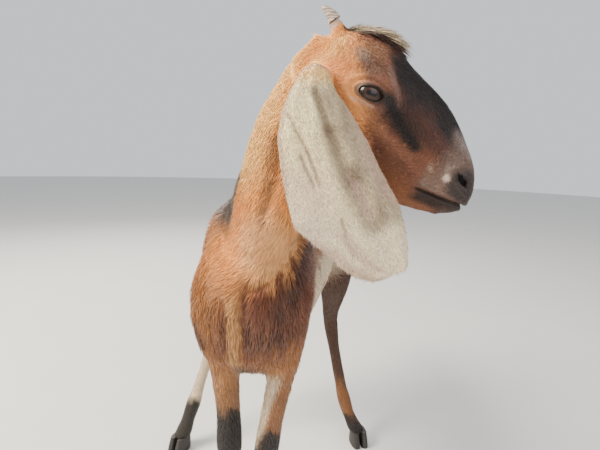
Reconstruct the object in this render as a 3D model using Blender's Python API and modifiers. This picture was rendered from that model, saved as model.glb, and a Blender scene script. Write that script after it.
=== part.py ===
"""Nubian doe kid, standing, with its head turned to its own left.

Metres, +Z up.  The kid faces -Y and its left side is +X.  The feet stand on
z = 0 and the box's bottom centre is the origin.  Flesh is modelled as lofts and
rounded masses fused into one body, and thin plane cuts divide that body into
head, neck, torso, tail and legs.
"""
import math
import random

import bmesh
import bpy
from mathutils import Matrix, Vector
from mathutils.bvhtree import BVHTree

NAME = "nubian_goat"
GAP = 0.0003
SEED = 31

# Head: origin at the poll, S runs to the nose, L to the kid's left, T dorsal
HEAD_ORIGIN = Vector((0.114, -0.103, 0.737))
HEAD_PITCH = math.radians(44.2)
HEAD_YAW = math.radians(-4.0)
HEAD_SIDES = 40
# s, top, bottom, half width, level of greatest width, exponents above and below
HEAD_STATIONS = (
    (-0.012, -0.006, -0.034, 0.014, -0.018, 1.0, 1.0),
    (-0.007, 0.000, -0.048, 0.025, -0.020, 1.0, 1.0),
    (0.001, 0.008, -0.060, 0.034, -0.022, 0.95, 1.0),
    (0.012, 0.017, -0.069, 0.041, -0.022, 0.9, 1.0),
    (0.026, 0.024, -0.076, 0.0455, -0.021, 0.85, 1.0),
    (0.040, 0.028, -0.081, 0.0480, -0.020, 0.85, 1.05),
    (0.055, 0.0285, -0.085, 0.0490, -0.020, 0.85, 1.1),
    (0.070, 0.028, -0.088, 0.0470, -0.024, 0.88, 1.1),
    (0.085, 0.0285, -0.0895, 0.0430, -0.028, 0.92, 1.1),
    (0.100, 0.0295, -0.0885, 0.0385, -0.030, 0.95, 1.05),
    (0.115, 0.0292, -0.0865, 0.0345, -0.028, 0.95, 1.0),
    (0.130, 0.0270, -0.0830, 0.0310, -0.026, 0.95, 0.95),
    (0.145, 0.0228, -0.0785, 0.0285, -0.026, 0.92, 0.92),
    (0.158, 0.0182, -0.0735, 0.0270, -0.026, 0.9, 0.9),
    (0.170, 0.0136, -0.0665, 0.0262, -0.026, 0.88, 0.9),
    (0.180, 0.0085, -0.0600, 0.0252, -0.026, 0.88, 0.9),
    (0.189, 0.0020, -0.0530, 0.0232, -0.025, 0.9, 0.9),
    (0.196, -0.0050, -0.0465, 0.0200, -0.025, 0.92, 0.92),
    (0.2012, -0.0125, -0.0400, 0.0155, -0.0255, 0.95, 0.95),
    (0.2040, -0.0195, -0.0335, 0.0090, -0.0262, 1.0, 1.0),
)
# Rounded masses on each side of the head: s, l, t and the three radii
HEAD_MASSES = (
    (0.060, 0.0410, -0.007, 0.022, 0.0100, 0.0100),
    (0.066, 0.0330, -0.052, 0.034, 0.0130, 0.0260),
    (0.181, 0.0170, -0.011, 0.013, 0.0075, 0.0085),
    (0.179, 0.0130, -0.044, 0.014, 0.0105, 0.0115),
    (0.002, 0.0200, -0.003, 0.009, 0.0100, 0.0100),
)

# Eyes
EYE_RADIUS = 0.0125
EYE_AT = (0.0620, 0.0398, -0.0206)
LID_THICK = 0.0022
EYE_SLIT = 0.0122
EYE_SLIT_HEIGHT = 0.0060
EYE_SLIT_POWER = 1.25
EYE_SLIT_SIDES = 18
EYE_SLIT_ENDS = ((0.002, 0.86), (0.020, 1.12))
EYE_TILT = math.radians(26.0)
EYE_FORWARD = math.radians(12.0)
EYE_UPWARD = math.radians(6.0)

# Mouth and nostrils, in the head's frame
MOUTH_CORNER = (0.1575, -0.0474)
MOUTH_FRONT = (0.2040, -0.0265)
MOUTH_HALF = 0.0262
MOUTH_POWER = 0.6
MOUTH_DEEP = 0.0040
MOUTH_OUT = 0.0040
MOUTH_WIDE = 0.0022
MOUTH_EDGE = 0.0002
MOUTH_RISE_POWER = 1.1
MOUTH_TURN_POWERS = (3.0, 0.5)
MOUTH_TAPER = (0.35, 2.5)
MOUTH_STEPS = 20
NOSTRIL_AT = (0.1810, 0.0238, -0.0115)
NOSTRIL_RADII = (0.0078, 0.0055, 0.0026)
NOSTRIL_TILT = math.radians(14.0)
NOSTRIL_SWING = math.radians(20.0)

# Locks: the forelock between the horns and the tuft along the tail
FORELOCK_COUNT = 22
FORELOCK_S = (0.004, 0.034)
FORELOCK_HALF = 0.021
FORELOCK_LENGTH = (0.022, 0.036)
FORELOCK_WIDTH = 0.0090
FORELOCK_RISE = (0.0015, 0.0045)
TAIL_LOCKS = 12
TAIL_LOCK_FROM = 2.3
TAIL_LOCK_TO = 5.5
TAIL_LOCK_LENGTH = (0.027, 0.042)
TAIL_LOCK_WIDTH = 0.0095
TAIL_LOCK_REACH = (0.40, 0.95, 0.45)
TAIL_LOCK_FALL = 0.35
ABOVE_HEAD = 0.12
LOCK_SIDES = 6
LOCK_PROFILE = (0.75, 1.0, 0.82, 0.42, 0.10)
LOCK_THICK = 0.42
LOCK_TIP = 0.0003
LOCK_SUNK = 0.0040
LOCK_WELD = 0.00006
GOLDEN = 0.618

# Horn buds grown to short scurs
HORN_BASE = (-0.002, 0.0205, -0.002)
HORN_TIP = (-0.0300, 0.0235, 0.0040)
HORN_RADIUS = 0.0072
HORN_TIP_RADIUS = 0.0011
HORN_TAPER = 0.62
HORN_BOW = 0.003
HORN_RIDGE = (0.97, 1.045)
HORN_STEPS = 9
HORN_CUT = 3
HORN_SIDES = 12

# Ears: height, back edge x, front edge x, y, cup depth, half thickness
EAR_RIGHT = (
    (0.6975, 0.0770, 0.1080, -0.1300, 0.0060, 0.0095),
    (0.6970, 0.0765, 0.1070, -0.1520, 0.0065, 0.0075),
    (0.6920, 0.0745, 0.1085, -0.1630, 0.0070, 0.0058),
    (0.6810, 0.0690, 0.1130, -0.1690, 0.0080, 0.0042),
    (0.6660, 0.0620, 0.1230, -0.1710, 0.0110, 0.0032),
    (0.6450, 0.0575, 0.1350, -0.1725, 0.0130, 0.0026),
    (0.6210, 0.0605, 0.1490, -0.1730, 0.0145, 0.0022),
    (0.5985, 0.0650, 0.1605, -0.1730, 0.0150, 0.0020),
    (0.5775, 0.0715, 0.1720, -0.1730, 0.0140, 0.0018),
    (0.5600, 0.0815, 0.1835, -0.1725, 0.0120, 0.0017),
    (0.5465, 0.0970, 0.1925, -0.1720, 0.0095, 0.0016),
    (0.5350, 0.1190, 0.1970, -0.1715, 0.0065, 0.0015),
    (0.5260, 0.1420, 0.1965, -0.1710, 0.0040, 0.0014),
    (0.5205, 0.1600, 0.1895, -0.1705, 0.0020, 0.0012),
    (0.5185, 0.1680, 0.1830, -0.1703, 0.0010, 0.0011),
)
EAR_ACROSS = 11
EAR_RIM = 0.0010
EAR_FOLD = 0.0014
EAR_CUT = 1
FAR_EAR_OUT = 0.056
FAR_EAR_AHEAD = 0.008
FAR_EAR_ROOT = 0.006
FAR_EAR_SWING = (3.0, 1.2)

# Neck: centre, half width, half depth, twist towards the head's sideways axis
NECK_STATIONS = (
    ((0.000, 0.090, 0.440), 0.056, 0.085, 0.00),
    ((0.003, 0.045, 0.480), 0.055, 0.080, 0.00),
    ((0.014, 0.010, 0.522), 0.049, 0.070, 0.15),
    ((0.030, -0.020, 0.566), 0.043, 0.060, 0.40),
    ((0.049, -0.048, 0.612), 0.039, 0.052, 0.70),
    ((0.070, -0.074, 0.654), 0.037, 0.048, 0.90),
    ((0.093, -0.093, 0.690), 0.036, 0.044, 1.00),
    ((0.118, -0.103, 0.714), 0.033, 0.040, 1.00),
)
NECK_SIDES = 32

# Torso: y, top, bottom, half width, level of greatest width, exponents
TORSO_STATIONS = (
    (-0.060, 0.450, 0.385, 0.026, 0.420, 1.0, 1.0),
    (-0.050, 0.475, 0.358, 0.046, 0.418, 1.0, 1.0),
    (-0.030, 0.505, 0.334, 0.064, 0.415, 0.95, 0.95),
    (-0.005, 0.535, 0.318, 0.075, 0.415, 0.95, 0.95),
    (0.030, 0.565, 0.308, 0.080, 0.420, 1.0, 1.0),
    (0.070, 0.586, 0.304, 0.084, 0.425, 1.1, 1.05),
    (0.110, 0.592, 0.302, 0.090, 0.430, 1.15, 1.1),
    (0.160, 0.589, 0.303, 0.098, 0.437, 1.1, 1.1),
    (0.220, 0.583, 0.307, 0.105, 0.443, 1.05, 1.05),
    (0.290, 0.580, 0.315, 0.108, 0.448, 1.0, 1.0),
    (0.350, 0.583, 0.328, 0.103, 0.455, 1.0, 1.0),
    (0.410, 0.590, 0.350, 0.094, 0.470, 0.95, 0.95),
    (0.460, 0.588, 0.380, 0.086, 0.490, 0.95, 0.95),
    (0.500, 0.573, 0.410, 0.075, 0.500, 0.95, 0.95),
    (0.532, 0.548, 0.435, 0.055, 0.500, 1.0, 1.0),
    (0.550, 0.525, 0.460, 0.030, 0.500, 1.0, 1.0),
)
TORSO_SIDES = 40
# Rounded masses on the torso: x, y, z and the three radii, mirrored in x
TORSO_MASSES = (
    (0.048, 0.020, 0.412, 0.036, 0.060, 0.085),
    (0.045, 0.062, 0.455, 0.038, 0.062, 0.094),
    (0.036, 0.500, 0.528, 0.028, 0.040, 0.032),
)

# Legs: joints from the trunk down to the coronet, for the kid's left (+X) side
FRONT_JOINTS_LEFT = ((0.056, 0.030, 0.440), (0.047, 0.024, 0.330), (0.031, -0.001, 0.215),
                     (0.025, 0.002, 0.082), (0.023, -0.010, 0.036))
FRONT_JOINTS_RIGHT = ((-0.056, 0.030, 0.440), (-0.040, 0.024, 0.330), (-0.024, -0.001, 0.215),
                      (-0.025, 0.002, 0.082), (-0.027, -0.010, 0.036))
# Along the joints (0 trunk, 4 coronet): half width across, reach forward, reach back
FRONT_GIRTH = (
    (0.00, 0.032, 0.056, 0.058), (0.35, 0.031, 0.050, 0.055), (0.70, 0.028, 0.042, 0.047),
    (1.00, 0.0245, 0.034, 0.038), (1.25, 0.0210, 0.0275, 0.0285), (1.50, 0.0185, 0.0225, 0.0225),
    (1.75, 0.0175, 0.0205, 0.0195), (1.92, 0.0180, 0.0215, 0.0190), (2.05, 0.0182, 0.0210, 0.0195),
    (2.18, 0.0165, 0.0175, 0.0180), (2.35, 0.0132, 0.0142, 0.0150), (2.60, 0.0120, 0.0132, 0.0138),
    (2.80, 0.0125, 0.0140, 0.0148), (2.95, 0.0155, 0.0170, 0.0180), (3.05, 0.0158, 0.0172, 0.0184),
    (3.30, 0.0145, 0.0160, 0.0160), (3.60, 0.0150, 0.0170, 0.0170), (4.00, 0.0185, 0.0210, 0.0210),
    (4.25, 0.0175, 0.0200, 0.0200),
)
HIND_JOINTS_LEFT = ((0.047, 0.442, 0.540), (0.104, 0.378, 0.365), (0.102, 0.402, 0.243),
                    (0.140, 0.357, 0.088), (0.166, 0.340, 0.036))
HIND_JOINTS_RIGHT = ((-0.047, 0.436, 0.540), (-0.119, 0.348, 0.368), (-0.147, 0.362, 0.240),
                     (-0.179, 0.285, 0.088), (-0.192, 0.262, 0.036))
HIND_GIRTH = (
    (0.00, 0.024, 0.045, 0.052), (0.12, 0.038, 0.070, 0.080), (0.32, 0.049, 0.086, 0.104),
    (0.60, 0.050, 0.082, 0.114), (0.85, 0.044, 0.070, 0.108), (1.00, 0.0395, 0.062, 0.099),
    (1.25, 0.0310, 0.049, 0.077), (1.50, 0.0240, 0.038, 0.053), (1.75, 0.0185, 0.029, 0.034),
    (1.90, 0.0168, 0.0235, 0.0265), (2.00, 0.0168, 0.0215, 0.0235), (2.12, 0.0160, 0.0198, 0.0215),
    (2.30, 0.0135, 0.0160, 0.0172), (2.55, 0.0122, 0.0142, 0.0148), (2.80, 0.0130, 0.0148, 0.0152),
    (2.95, 0.0158, 0.0170, 0.0180), (3.05, 0.0160, 0.0172, 0.0184), (3.30, 0.0145, 0.0160, 0.0160),
    (3.60, 0.0150, 0.0170, 0.0170), (4.00, 0.0180, 0.0205, 0.0205), (4.25, 0.0172, 0.0195, 0.0195),
)
LEG_SIDES = 20
LEG_END_DROP = 6.0
HOCK_POINT_AT = Vector((0.0, 0.012, 0.008))
HOCK_POINT_RADII = (0.0075, 0.014, 0.026)
DEWCLAW_AT = Vector((0.0085, 0.0165, -0.012))
DEWCLAW_RADII = (0.0050, 0.0050, 0.0075)

# Hooves: two claws on each foot, each standing on a flat sole
CORONET = 0.0300
CLAW_LENGTH = 0.0430
CLAW_WIDTH = 0.0165
CLAW_SPREAD = 0.0012
CLAW_LEAN = 0.0100
CLAW_SIDES = 16
CLAW_POWERS = (0.85, 0.8, 0.45)
# Level, size and lean of each ring of a claw's wall
CLAW_LEVELS = ((0.0, 1.0, 0.0), (0.006, 1.0, 0.06), (0.016, 0.93, 0.24), (CORONET - GAP, 0.80, 0.52))
SOLE_AHEAD = 0.004
PASTERN_REACH = 0.35
FRONT_TOE_OUT = math.radians(4.0)
HIND_TOE_OUT = math.radians(20.0)

# Udder of a young doe
UDDER_AT = (0.018, 0.392, 0.352)
UDDER_RADII = (0.022, 0.034, 0.020)
TEAT_AHEAD = 0.004
TEAT_RADII = (0.0055, 0.0055, 0.014)

# Tail: centre and radii, hanging with a slight lift at the root
TAIL_STATIONS = (
    ((0.0, 0.515, 0.558), 0.018, 0.013),
    ((0.0, 0.540, 0.557), 0.017, 0.012),
    ((0.0, 0.560, 0.549), 0.016, 0.010),
    ((0.0, 0.576, 0.532), 0.015, 0.009),
    ((0.0, 0.585, 0.510), 0.013, 0.008),
    ((0.0, 0.589, 0.488), 0.009, 0.006),
    ((0.0, 0.590, 0.470), 0.004, 0.003),
)
TAIL_SIDES = 14

# Cuts
HEAD_CUT = Vector((0.082, -0.100, 0.665))
HEAD_CUT_NORMAL = Vector((0.955, -0.10, 0.28)).normalized()
NECK_CUT = Vector((0.0, 0.012, 0.515))
NECK_CUT_NORMAL = Vector((0.16, -0.76, 0.63)).normalized()
TAIL_CUT = Vector((0.0, 0.549, 0.553))
TAIL_CUT_NORMAL = Vector((0.0, 0.93, -0.37)).normalized()
TAIL_BLOCK = (0.044, 0.031, 0.060)
# Leg regions: low corner, high corner and the lift of the top's outer edge
LEG_REGIONS = {
    "front_leg_left": ((0.0015, -0.10, -0.05), (0.16, 0.16, 0.298), 0.0),
    "front_leg_right": ((-0.16, -0.10, -0.05), (-0.0015, 0.16, 0.298), 0.0),
    "hind_leg_left": ((0.0015, 0.22, -0.05), (0.30, 0.62, 0.275), 0.26),
    "hind_leg_right": ((-0.30, 0.17, -0.05), (-0.0015, 0.62, 0.275), 0.26),
}

# Mesh resolution
BODY_VOXEL = 0.0042
HEAD_VOXEL = 0.0022
ROUND_STEPS = 6
TRUNK_SOFT_LOW = 0.270
TRUNK_SOFT_RISE = 0.060
TRUNK_SOFT_STEPS = 36
BODY_TRIANGLES = 4200
LEG_TRIANGLES = 8200
HEAD_TRIANGLES = 4500


def clear_scene():
    for ob in list(bpy.data.objects):
        bpy.data.objects.remove(ob, do_unlink=True)


def collection(name):
    coll = bpy.data.collections.get(name) or bpy.data.collections.new(name)
    if coll.name not in [c.name for c in bpy.context.scene.collection.children]:
        bpy.context.scene.collection.children.link(coll)
    return coll


def object_from_bmesh(name, bm, coll):
    bmesh.ops.recalc_face_normals(bm, faces=bm.faces)
    mesh = bpy.data.meshes.new(name)
    bm.to_mesh(mesh)
    bm.free()
    ob = bpy.data.objects.new(name, mesh)
    coll.objects.link(ob)
    return ob


def signed_power(value, exponent):
    return math.copysign(abs(value) ** exponent, value)


def section(centre, side, up, half, rise, drop, power_top, power_bottom, count):
    """Closed section: half is its half width, rise and drop its reach along up."""
    points = []
    for i in range(count):
        angle = 2.0 * math.pi * i / count
        c, s = math.cos(angle), math.sin(angle)
        power = power_top if s >= 0 else power_bottom
        across = half * signed_power(c, power)
        along = (rise if s >= 0 else drop) * signed_power(s, power)
        points.append(centre + side * across + up * along)
    return points


def loft(bm, rings):
    """Skin a run of rings of equal count, closed at both ends."""
    rows = [[bm.verts.new(p) for p in ring] for ring in rings]
    count = len(rows[0])
    for a, b in zip(rows, rows[1:]):
        for i in range(count):
            j = (i + 1) % count
            bm.faces.new((a[i], a[j], b[j], b[i]))
    for row in (rows[0], rows[-1]):
        hub = bm.verts.new(sum((v.co for v in row), Vector()) / count)
        for i in range(count):
            bm.faces.new((row[i], row[(i + 1) % count], hub))


def loft_object(name, rings, coll):
    bm = bmesh.new()
    loft(bm, rings)
    return object_from_bmesh(name, bm, coll)


def catmull(points, t):
    """Point at parameter t (0 to len-1) on a smooth curve through the points."""
    last = len(points) - 1
    i = min(int(t), last - 1)
    u = t - i
    p1, p2 = points[i], points[i + 1]
    p0 = points[i - 1] if i > 0 else p1 * 2 - p2
    p3 = points[i + 2] if i + 2 <= last else p2 * 2 - p1
    return 0.5 * ((2 * p1) + (p2 - p0) * u + (2 * p0 - 5 * p1 + 4 * p2 - p3) * u * u
                  + (3 * p1 - p0 - 3 * p2 + p3) * u ** 3)


def head_axes():
    cp, sp = math.cos(HEAD_PITCH), math.sin(HEAD_PITCH)
    cy, sy = math.cos(HEAD_YAW), math.sin(HEAD_YAW)
    ahead = Vector((cp * cy, cp * sy, -sp))
    left = Vector((-sy, cy, 0.0))
    return ahead, left, ahead.cross(left)


def head_point(s, l, t):
    ahead, left, dorsal = head_axes()
    return HEAD_ORIGIN + ahead * s + left * l + dorsal * t


def head_matrix(s, l, t):
    ahead, left, dorsal = head_axes()
    rows = Matrix((ahead, left, dorsal)).transposed().to_4x4()
    return Matrix.Translation(head_point(s, l, t)) @ rows


def ellipsoid(bm, matrix, radii, segments=24, rings=14):
    scale = Matrix.Diagonal((radii[0], radii[1], radii[2], 1.0))
    bmesh.ops.create_uvsphere(bm, u_segments=segments, v_segments=rings, radius=1.0,
                              matrix=matrix @ scale)


def add_head_flesh(bm):
    _ahead, left, dorsal = head_axes()
    rings = []
    for s, top, bottom, half, level, p_top, p_bottom in HEAD_STATIONS:
        centre = head_point(s, 0.0, level)
        rings.append(section(centre, left, dorsal, half, top - level, level - bottom,
                             p_top, p_bottom, HEAD_SIDES))
    loft(bm, rings)
    for side in (-1, 1):
        for s, l, t, rs, rl, rt in HEAD_MASSES:
            ellipsoid(bm, head_matrix(s, side * l, t), (rs, rl, rt))


def neck_frame(index):
    centres = [Vector(c) for c, _w, _d, _k in NECK_STATIONS]
    before = centres[max(index - 1, 0)]
    after = centres[min(index + 1, len(centres) - 1)]
    tangent = (after - before).normalized()
    left = head_axes()[1]
    twist = NECK_STATIONS[index][3]
    side = Vector((1.0, 0.0, 0.0)).lerp(left, twist)
    side = (side - tangent * side.dot(tangent)).normalized()
    return centres[index], tangent, side


def add_neck_flesh(bm):
    rings = []
    for i, (_c, half, deep, _k) in enumerate(NECK_STATIONS):
        centre, tangent, side = neck_frame(i)
        dorsal = side.cross(tangent).normalized()
        if dorsal.z < 0:
            dorsal = -dorsal
        rings.append(section(centre, side, dorsal, half, deep, deep, 1.0, 1.0, NECK_SIDES))
    loft(bm, rings)


def add_torso_flesh(bm):
    side, up = Vector((1, 0, 0)), Vector((0, 0, 1))
    rings = []
    for y, top, bottom, half, level, p_top, p_bottom in TORSO_STATIONS:
        centre = Vector((0.0, y, level))
        rings.append(section(centre, side, up, half, top - level, level - bottom,
                             p_top, p_bottom, TORSO_SIDES))
    loft(bm, rings)
    for sign in (-1, 1):
        for x, y, z, rx, ry, rz in TORSO_MASSES:
            ellipsoid(bm, Matrix.Translation((sign * x, y, z)), (rx, ry, rz))


def add_udder(bm):
    for sign in (-1, 1):
        at = Vector((sign * UDDER_AT[0], UDDER_AT[1], UDDER_AT[2]))
        ellipsoid(bm, Matrix.Translation(at), UDDER_RADII)
        tip = at + Vector((sign * TEAT_AHEAD, -TEAT_AHEAD, -UDDER_RADII[2]))
        ellipsoid(bm, Matrix.Translation(tip), TEAT_RADII)


def leg_centre(joints, u):
    return catmull([Vector(j) for j in joints], min(u, 4.0))


def leg_rings(joints, girth):
    side, fore = Vector((1, 0, 0)), Vector((0, 1, 0))
    rings = []
    for u, half, front, back in girth:
        centre = leg_centre(joints, u)
        if u > 4.0:
            drop = leg_centre(joints, 4.0) - leg_centre(joints, 3.8)
            centre = centre + drop * (u - 4.0) * LEG_END_DROP
        rings.append(section(centre, side, fore, half, back, front, 1.0, 1.0, LEG_SIDES))
    return rings


def add_leg(bm, joints, girth, hind):
    loft(bm, leg_rings(joints, girth))
    fetlock = Vector(joints[3])
    for sign in (-1, 1):
        at = fetlock + Vector((sign * DEWCLAW_AT.x, DEWCLAW_AT.y, DEWCLAW_AT.z))
        ellipsoid(bm, Matrix.Translation(at), DEWCLAW_RADII, 12, 8)
    if hind:
        ellipsoid(bm, Matrix.Translation(Vector(joints[2]) + HOCK_POINT_AT), HOCK_POINT_RADII)


def tail_rings():
    side = Vector((1, 0, 0))
    centres = [Vector(c) for c, _a, _b in TAIL_STATIONS]
    rings = []
    for i, (_c, half, deep) in enumerate(TAIL_STATIONS):
        before, after = centres[max(i - 1, 0)], centres[min(i + 1, len(centres) - 1)]
        tangent = (after - before).normalized()
        up = tangent.cross(side).normalized()
        rings.append(section(centres[i], side, up, half, deep, deep, 1.0, 1.0, TAIL_SIDES))
    return rings


def apply_modifiers(ob):
    bpy.context.view_layer.update()
    evaluated = ob.evaluated_get(bpy.context.evaluated_depsgraph_get())
    mesh = bpy.data.meshes.new_from_object(evaluated)
    ob.modifiers.clear()
    old = ob.data
    ob.data = mesh
    bpy.data.meshes.remove(old)


def fuse(ob, voxel):
    """Fuse overlapping masses into one skin and round the creases between them."""
    remesh = ob.modifiers.new("fuse", "REMESH")
    remesh.mode = "VOXEL"
    remesh.voxel_size = voxel
    remesh.adaptivity = 0.0
    smooth = ob.modifiers.new("round", "SMOOTH")
    smooth.factor = 0.5
    smooth.iterations = ROUND_STEPS
    apply_modifiers(ob)


def soften_trunk(ob):
    """Round the trunk further than the slim lower legs."""
    group = ob.vertex_groups.new(name="trunk")
    for v in ob.data.vertices:
        weight = min(1.0, max(0.0, (v.co.z - TRUNK_SOFT_LOW) / TRUNK_SOFT_RISE))
        group.add([v.index], weight, "REPLACE")
    smooth = ob.modifiers.new("soften", "SMOOTH")
    smooth.factor = 0.5
    smooth.iterations = TRUNK_SOFT_STEPS
    smooth.vertex_group = group.name
    apply_modifiers(ob)


def triangle_count(ob):
    return sum(len(p.vertices) - 2 for p in ob.data.polygons)


def thin_out(ob, triangles):
    keep = ob.modifiers.new("thin_out", "DECIMATE")
    keep.decimate_type = "COLLAPSE"
    keep.ratio = min(1.0, triangles / triangle_count(ob))
    keep.use_collapse_triangulate = True
    apply_modifiers(ob)


def keep_largest(ob):
    bm = bmesh.new()
    bm.from_mesh(ob.data)
    unseen = set(bm.verts)
    groups = []
    while unseen:
        seed = unseen.pop()
        stack, group = [seed], [seed]
        while stack:
            for edge in stack.pop().link_edges:
                for v in edge.verts:
                    if v in unseen:
                        unseen.remove(v)
                        stack.append(v)
                        group.append(v)
        groups.append(group)
    groups.sort(key=len, reverse=True)
    for group in groups[1:]:
        bmesh.ops.delete(bm, geom=group, context="VERTS")
    bm.to_mesh(ob.data)
    bm.free()


def cut_plane(ob, point, normal):
    """Keep the part of a closed mesh behind the plane and close the cut."""
    bm = bmesh.new()
    bm.from_mesh(ob.data)
    bmesh.ops.bisect_plane(bm, geom=bm.verts[:] + bm.edges[:] + bm.faces[:], dist=1e-6,
                           plane_co=point, plane_no=normal, clear_outer=True)
    rim = [e for e in bm.edges if e.is_boundary]
    filled = bmesh.ops.holes_fill(bm, edges=rim, sides=0)
    bmesh.ops.triangulate(bm, faces=filled["faces"])
    bmesh.ops.recalc_face_normals(bm, faces=bm.faces)
    bm.to_mesh(ob.data)
    bm.free()


def boolean(ob, cutter, operation, solver="EXACT"):
    mod = ob.modifiers.new(operation.lower(), "BOOLEAN")
    mod.operation = operation
    mod.object = cutter
    mod.solver = solver
    apply_modifiers(ob)


def box_region(name, low, high, coll, lift=0.0):
    """Box from low to high; lift raises its top on the outer side."""
    bm = bmesh.new()
    bmesh.ops.create_cube(bm, size=1.0)
    for v in bm.verts:
        on = [v.co[i] > 0 for i in range(3)]
        v.co = Vector(high[i] if on[i] else low[i] for i in range(3))
        if on[2] and on[0] == (high[0] > 0):
            v.co.z += lift
    ob = object_from_bmesh(name, bm, coll)
    ob.hide_render = True
    ob.display_type = "WIRE"
    return ob


def tail_block(coll):
    """Block whose near face closes the trunk where the tail leaves it."""
    bm = bmesh.new()
    side = Vector((1.0, 0.0, 0.0))
    rows = Matrix((side, TAIL_CUT_NORMAL.cross(side), TAIL_CUT_NORMAL)).transposed().to_4x4()
    at = TAIL_CUT + TAIL_CUT_NORMAL * (TAIL_BLOCK[2] / 2 - GAP / 2)
    scale = Matrix.Diagonal((*TAIL_BLOCK, 1.0))
    bmesh.ops.create_cube(bm, size=1.0, matrix=Matrix.Translation(at) @ rows @ scale)
    ob = object_from_bmesh("tail_block", bm, coll)
    ob.hide_render = True
    ob.display_type = "WIRE"
    return ob


def duplicate(ob, name, coll):
    copy = ob.copy()
    copy.data = ob.data.copy()
    copy.name = name
    coll.objects.link(copy)
    return copy


def discard(*obs):
    for ob in obs:
        bpy.data.objects.remove(ob, do_unlink=True)


def flesh_object(name, coll, with_trunk):
    bm = bmesh.new()
    add_head_flesh(bm)
    add_neck_flesh(bm)
    if with_trunk:
        add_torso_flesh(bm)
        add_udder(bm)
        add_leg(bm, FRONT_JOINTS_LEFT, FRONT_GIRTH, False)
        add_leg(bm, FRONT_JOINTS_RIGHT, FRONT_GIRTH, False)
        add_leg(bm, HIND_JOINTS_LEFT, HIND_GIRTH, True)
        add_leg(bm, HIND_JOINTS_RIGHT, HIND_GIRTH, True)
        loft(bm, tail_rings())
    return object_from_bmesh(name, bm, coll)


def ear_rings(stations):
    """Cupped, folded leaf: each ring runs over the outer face and back inside."""
    ahead = Vector((1.0, 0.0, 0.0))
    centres = [Vector(((b + f) / 2, y, z)) for z, b, f, y, _c, _t in stations]
    rings = []
    for i, (z, back, front, y, cup, thick) in enumerate(stations):
        before, after = centres[max(i - 1, 0)], centres[min(i + 1, len(centres) - 1)]
        tangent = (after - before).normalized()
        across = (ahead - tangent * ahead.dot(tangent)).normalized()
        outward = across.cross(tangent).normalized()
        if outward.dot(Vector((0, 0, 1)) + Vector((0, y / abs(y), 0))) < 0:
            outward = -outward
        half = (front - back) / 2
        outer, inner = [], []
        for k in range(EAR_ACROSS):
            v = -1.0 + 2.0 * k / (EAR_ACROSS - 1)
            fold = EAR_FOLD * math.cos(v * 3.0 * math.pi) * min(1.0, i / 4)
            middle = centres[i] + across * (half * v) - outward * (cup * v * v - fold)
            depth = EAR_RIM + (thick - EAR_RIM) * math.sqrt(max(0.0, 1 - v * v))
            outer.append(middle + outward * depth)
            inner.append(middle - outward * depth)
        rings.append(outer + inner[::-1])
    return rings


def left_ear_stations():
    """The far ear hangs clear of the bent neck, further out than the near one."""
    stations = []
    mirror_y = HEAD_ORIGIN.y
    for i, (z, back, front, y, cup, thick) in enumerate(EAR_RIGHT):
        out = mirror_y + (mirror_y - y) + (FAR_EAR_ROOT if i else 0.0)
        swing = 1.0 - math.exp(-(max(0.0, i - 1.0) / FAR_EAR_SWING[0]) ** FAR_EAR_SWING[1])
        stations.append((z, back + FAR_EAR_AHEAD, front + FAR_EAR_AHEAD,
                         out + FAR_EAR_OUT * swing, cup, thick))
    return stations


def make_ears(coll, head):
    for name, stations in (("ear_right", EAR_RIGHT), ("ear_left", left_ear_stations())):
        rings = ear_rings(stations)
        stub = loft_object(name + "_stub", rings[:EAR_CUT + 1], coll)
        boolean(head, stub, "UNION", "MANIFOLD")
        discard(stub)
        lift = Vector()
        for a, b in zip(rings[EAR_CUT], rings[EAR_CUT + 1]):
            lift += (b - a)
        lift.normalize()
        ear = loft_object(name, [[p + lift * GAP for p in rings[EAR_CUT]]] + rings[EAR_CUT + 1:],
                          coll)
        paint(ear)


def horn_rings(side):
    base = head_point(HORN_BASE[0], side * HORN_BASE[1], HORN_BASE[2])
    tip = head_point(HORN_TIP[0], side * HORN_TIP[1], HORN_TIP[2])
    _ahead, left, dorsal = head_axes()
    along = (tip - base).normalized()
    one = (left - along * left.dot(along)).normalized()
    two = along.cross(one)
    rings = []
    for i in range(HORN_STEPS):
        u = i / (HORN_STEPS - 1)
        bow = dorsal * (HORN_BOW * math.sin(math.pi * u))
        radius = (HORN_RADIUS * (1 - u) ** HORN_TAPER + HORN_TIP_RADIUS) * HORN_RIDGE[i % 2]
        centre = base.lerp(tip, u) + bow
        rings.append(section(centre, one, two, radius, radius, radius, 1.0, 1.0, HORN_SIDES))
    return rings, along


def make_horns(coll, head):
    for name, side in (("horn_right", -1), ("horn_left", 1)):
        rings, along = horn_rings(side)
        stub = loft_object(name + "_stub", rings[:HORN_CUT + 1], coll)
        boolean(head, stub, "UNION", "MANIFOLD")
        discard(stub)
        near = [p + along * GAP for p in rings[HORN_CUT]]
        horn = loft_object(name, [near] + rings[HORN_CUT + 1:], coll)
        paint(horn)


def eye_matrix(side):
    ahead, left, dorsal = head_axes()
    look = (left * side * math.cos(EYE_FORWARD) + ahead * math.sin(EYE_FORWARD)
            + dorsal * math.sin(EYE_UPWARD)).normalized()
    slit = (ahead * math.cos(EYE_TILT) + dorsal * math.sin(EYE_TILT))
    slit = (slit - look * slit.dot(look)).normalized()
    rise = look.cross(slit)
    rows = Matrix((slit, rise, look)).transposed().to_4x4()
    return Matrix.Translation(head_point(EYE_AT[0], side * EYE_AT[1], EYE_AT[2])) @ rows


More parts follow.
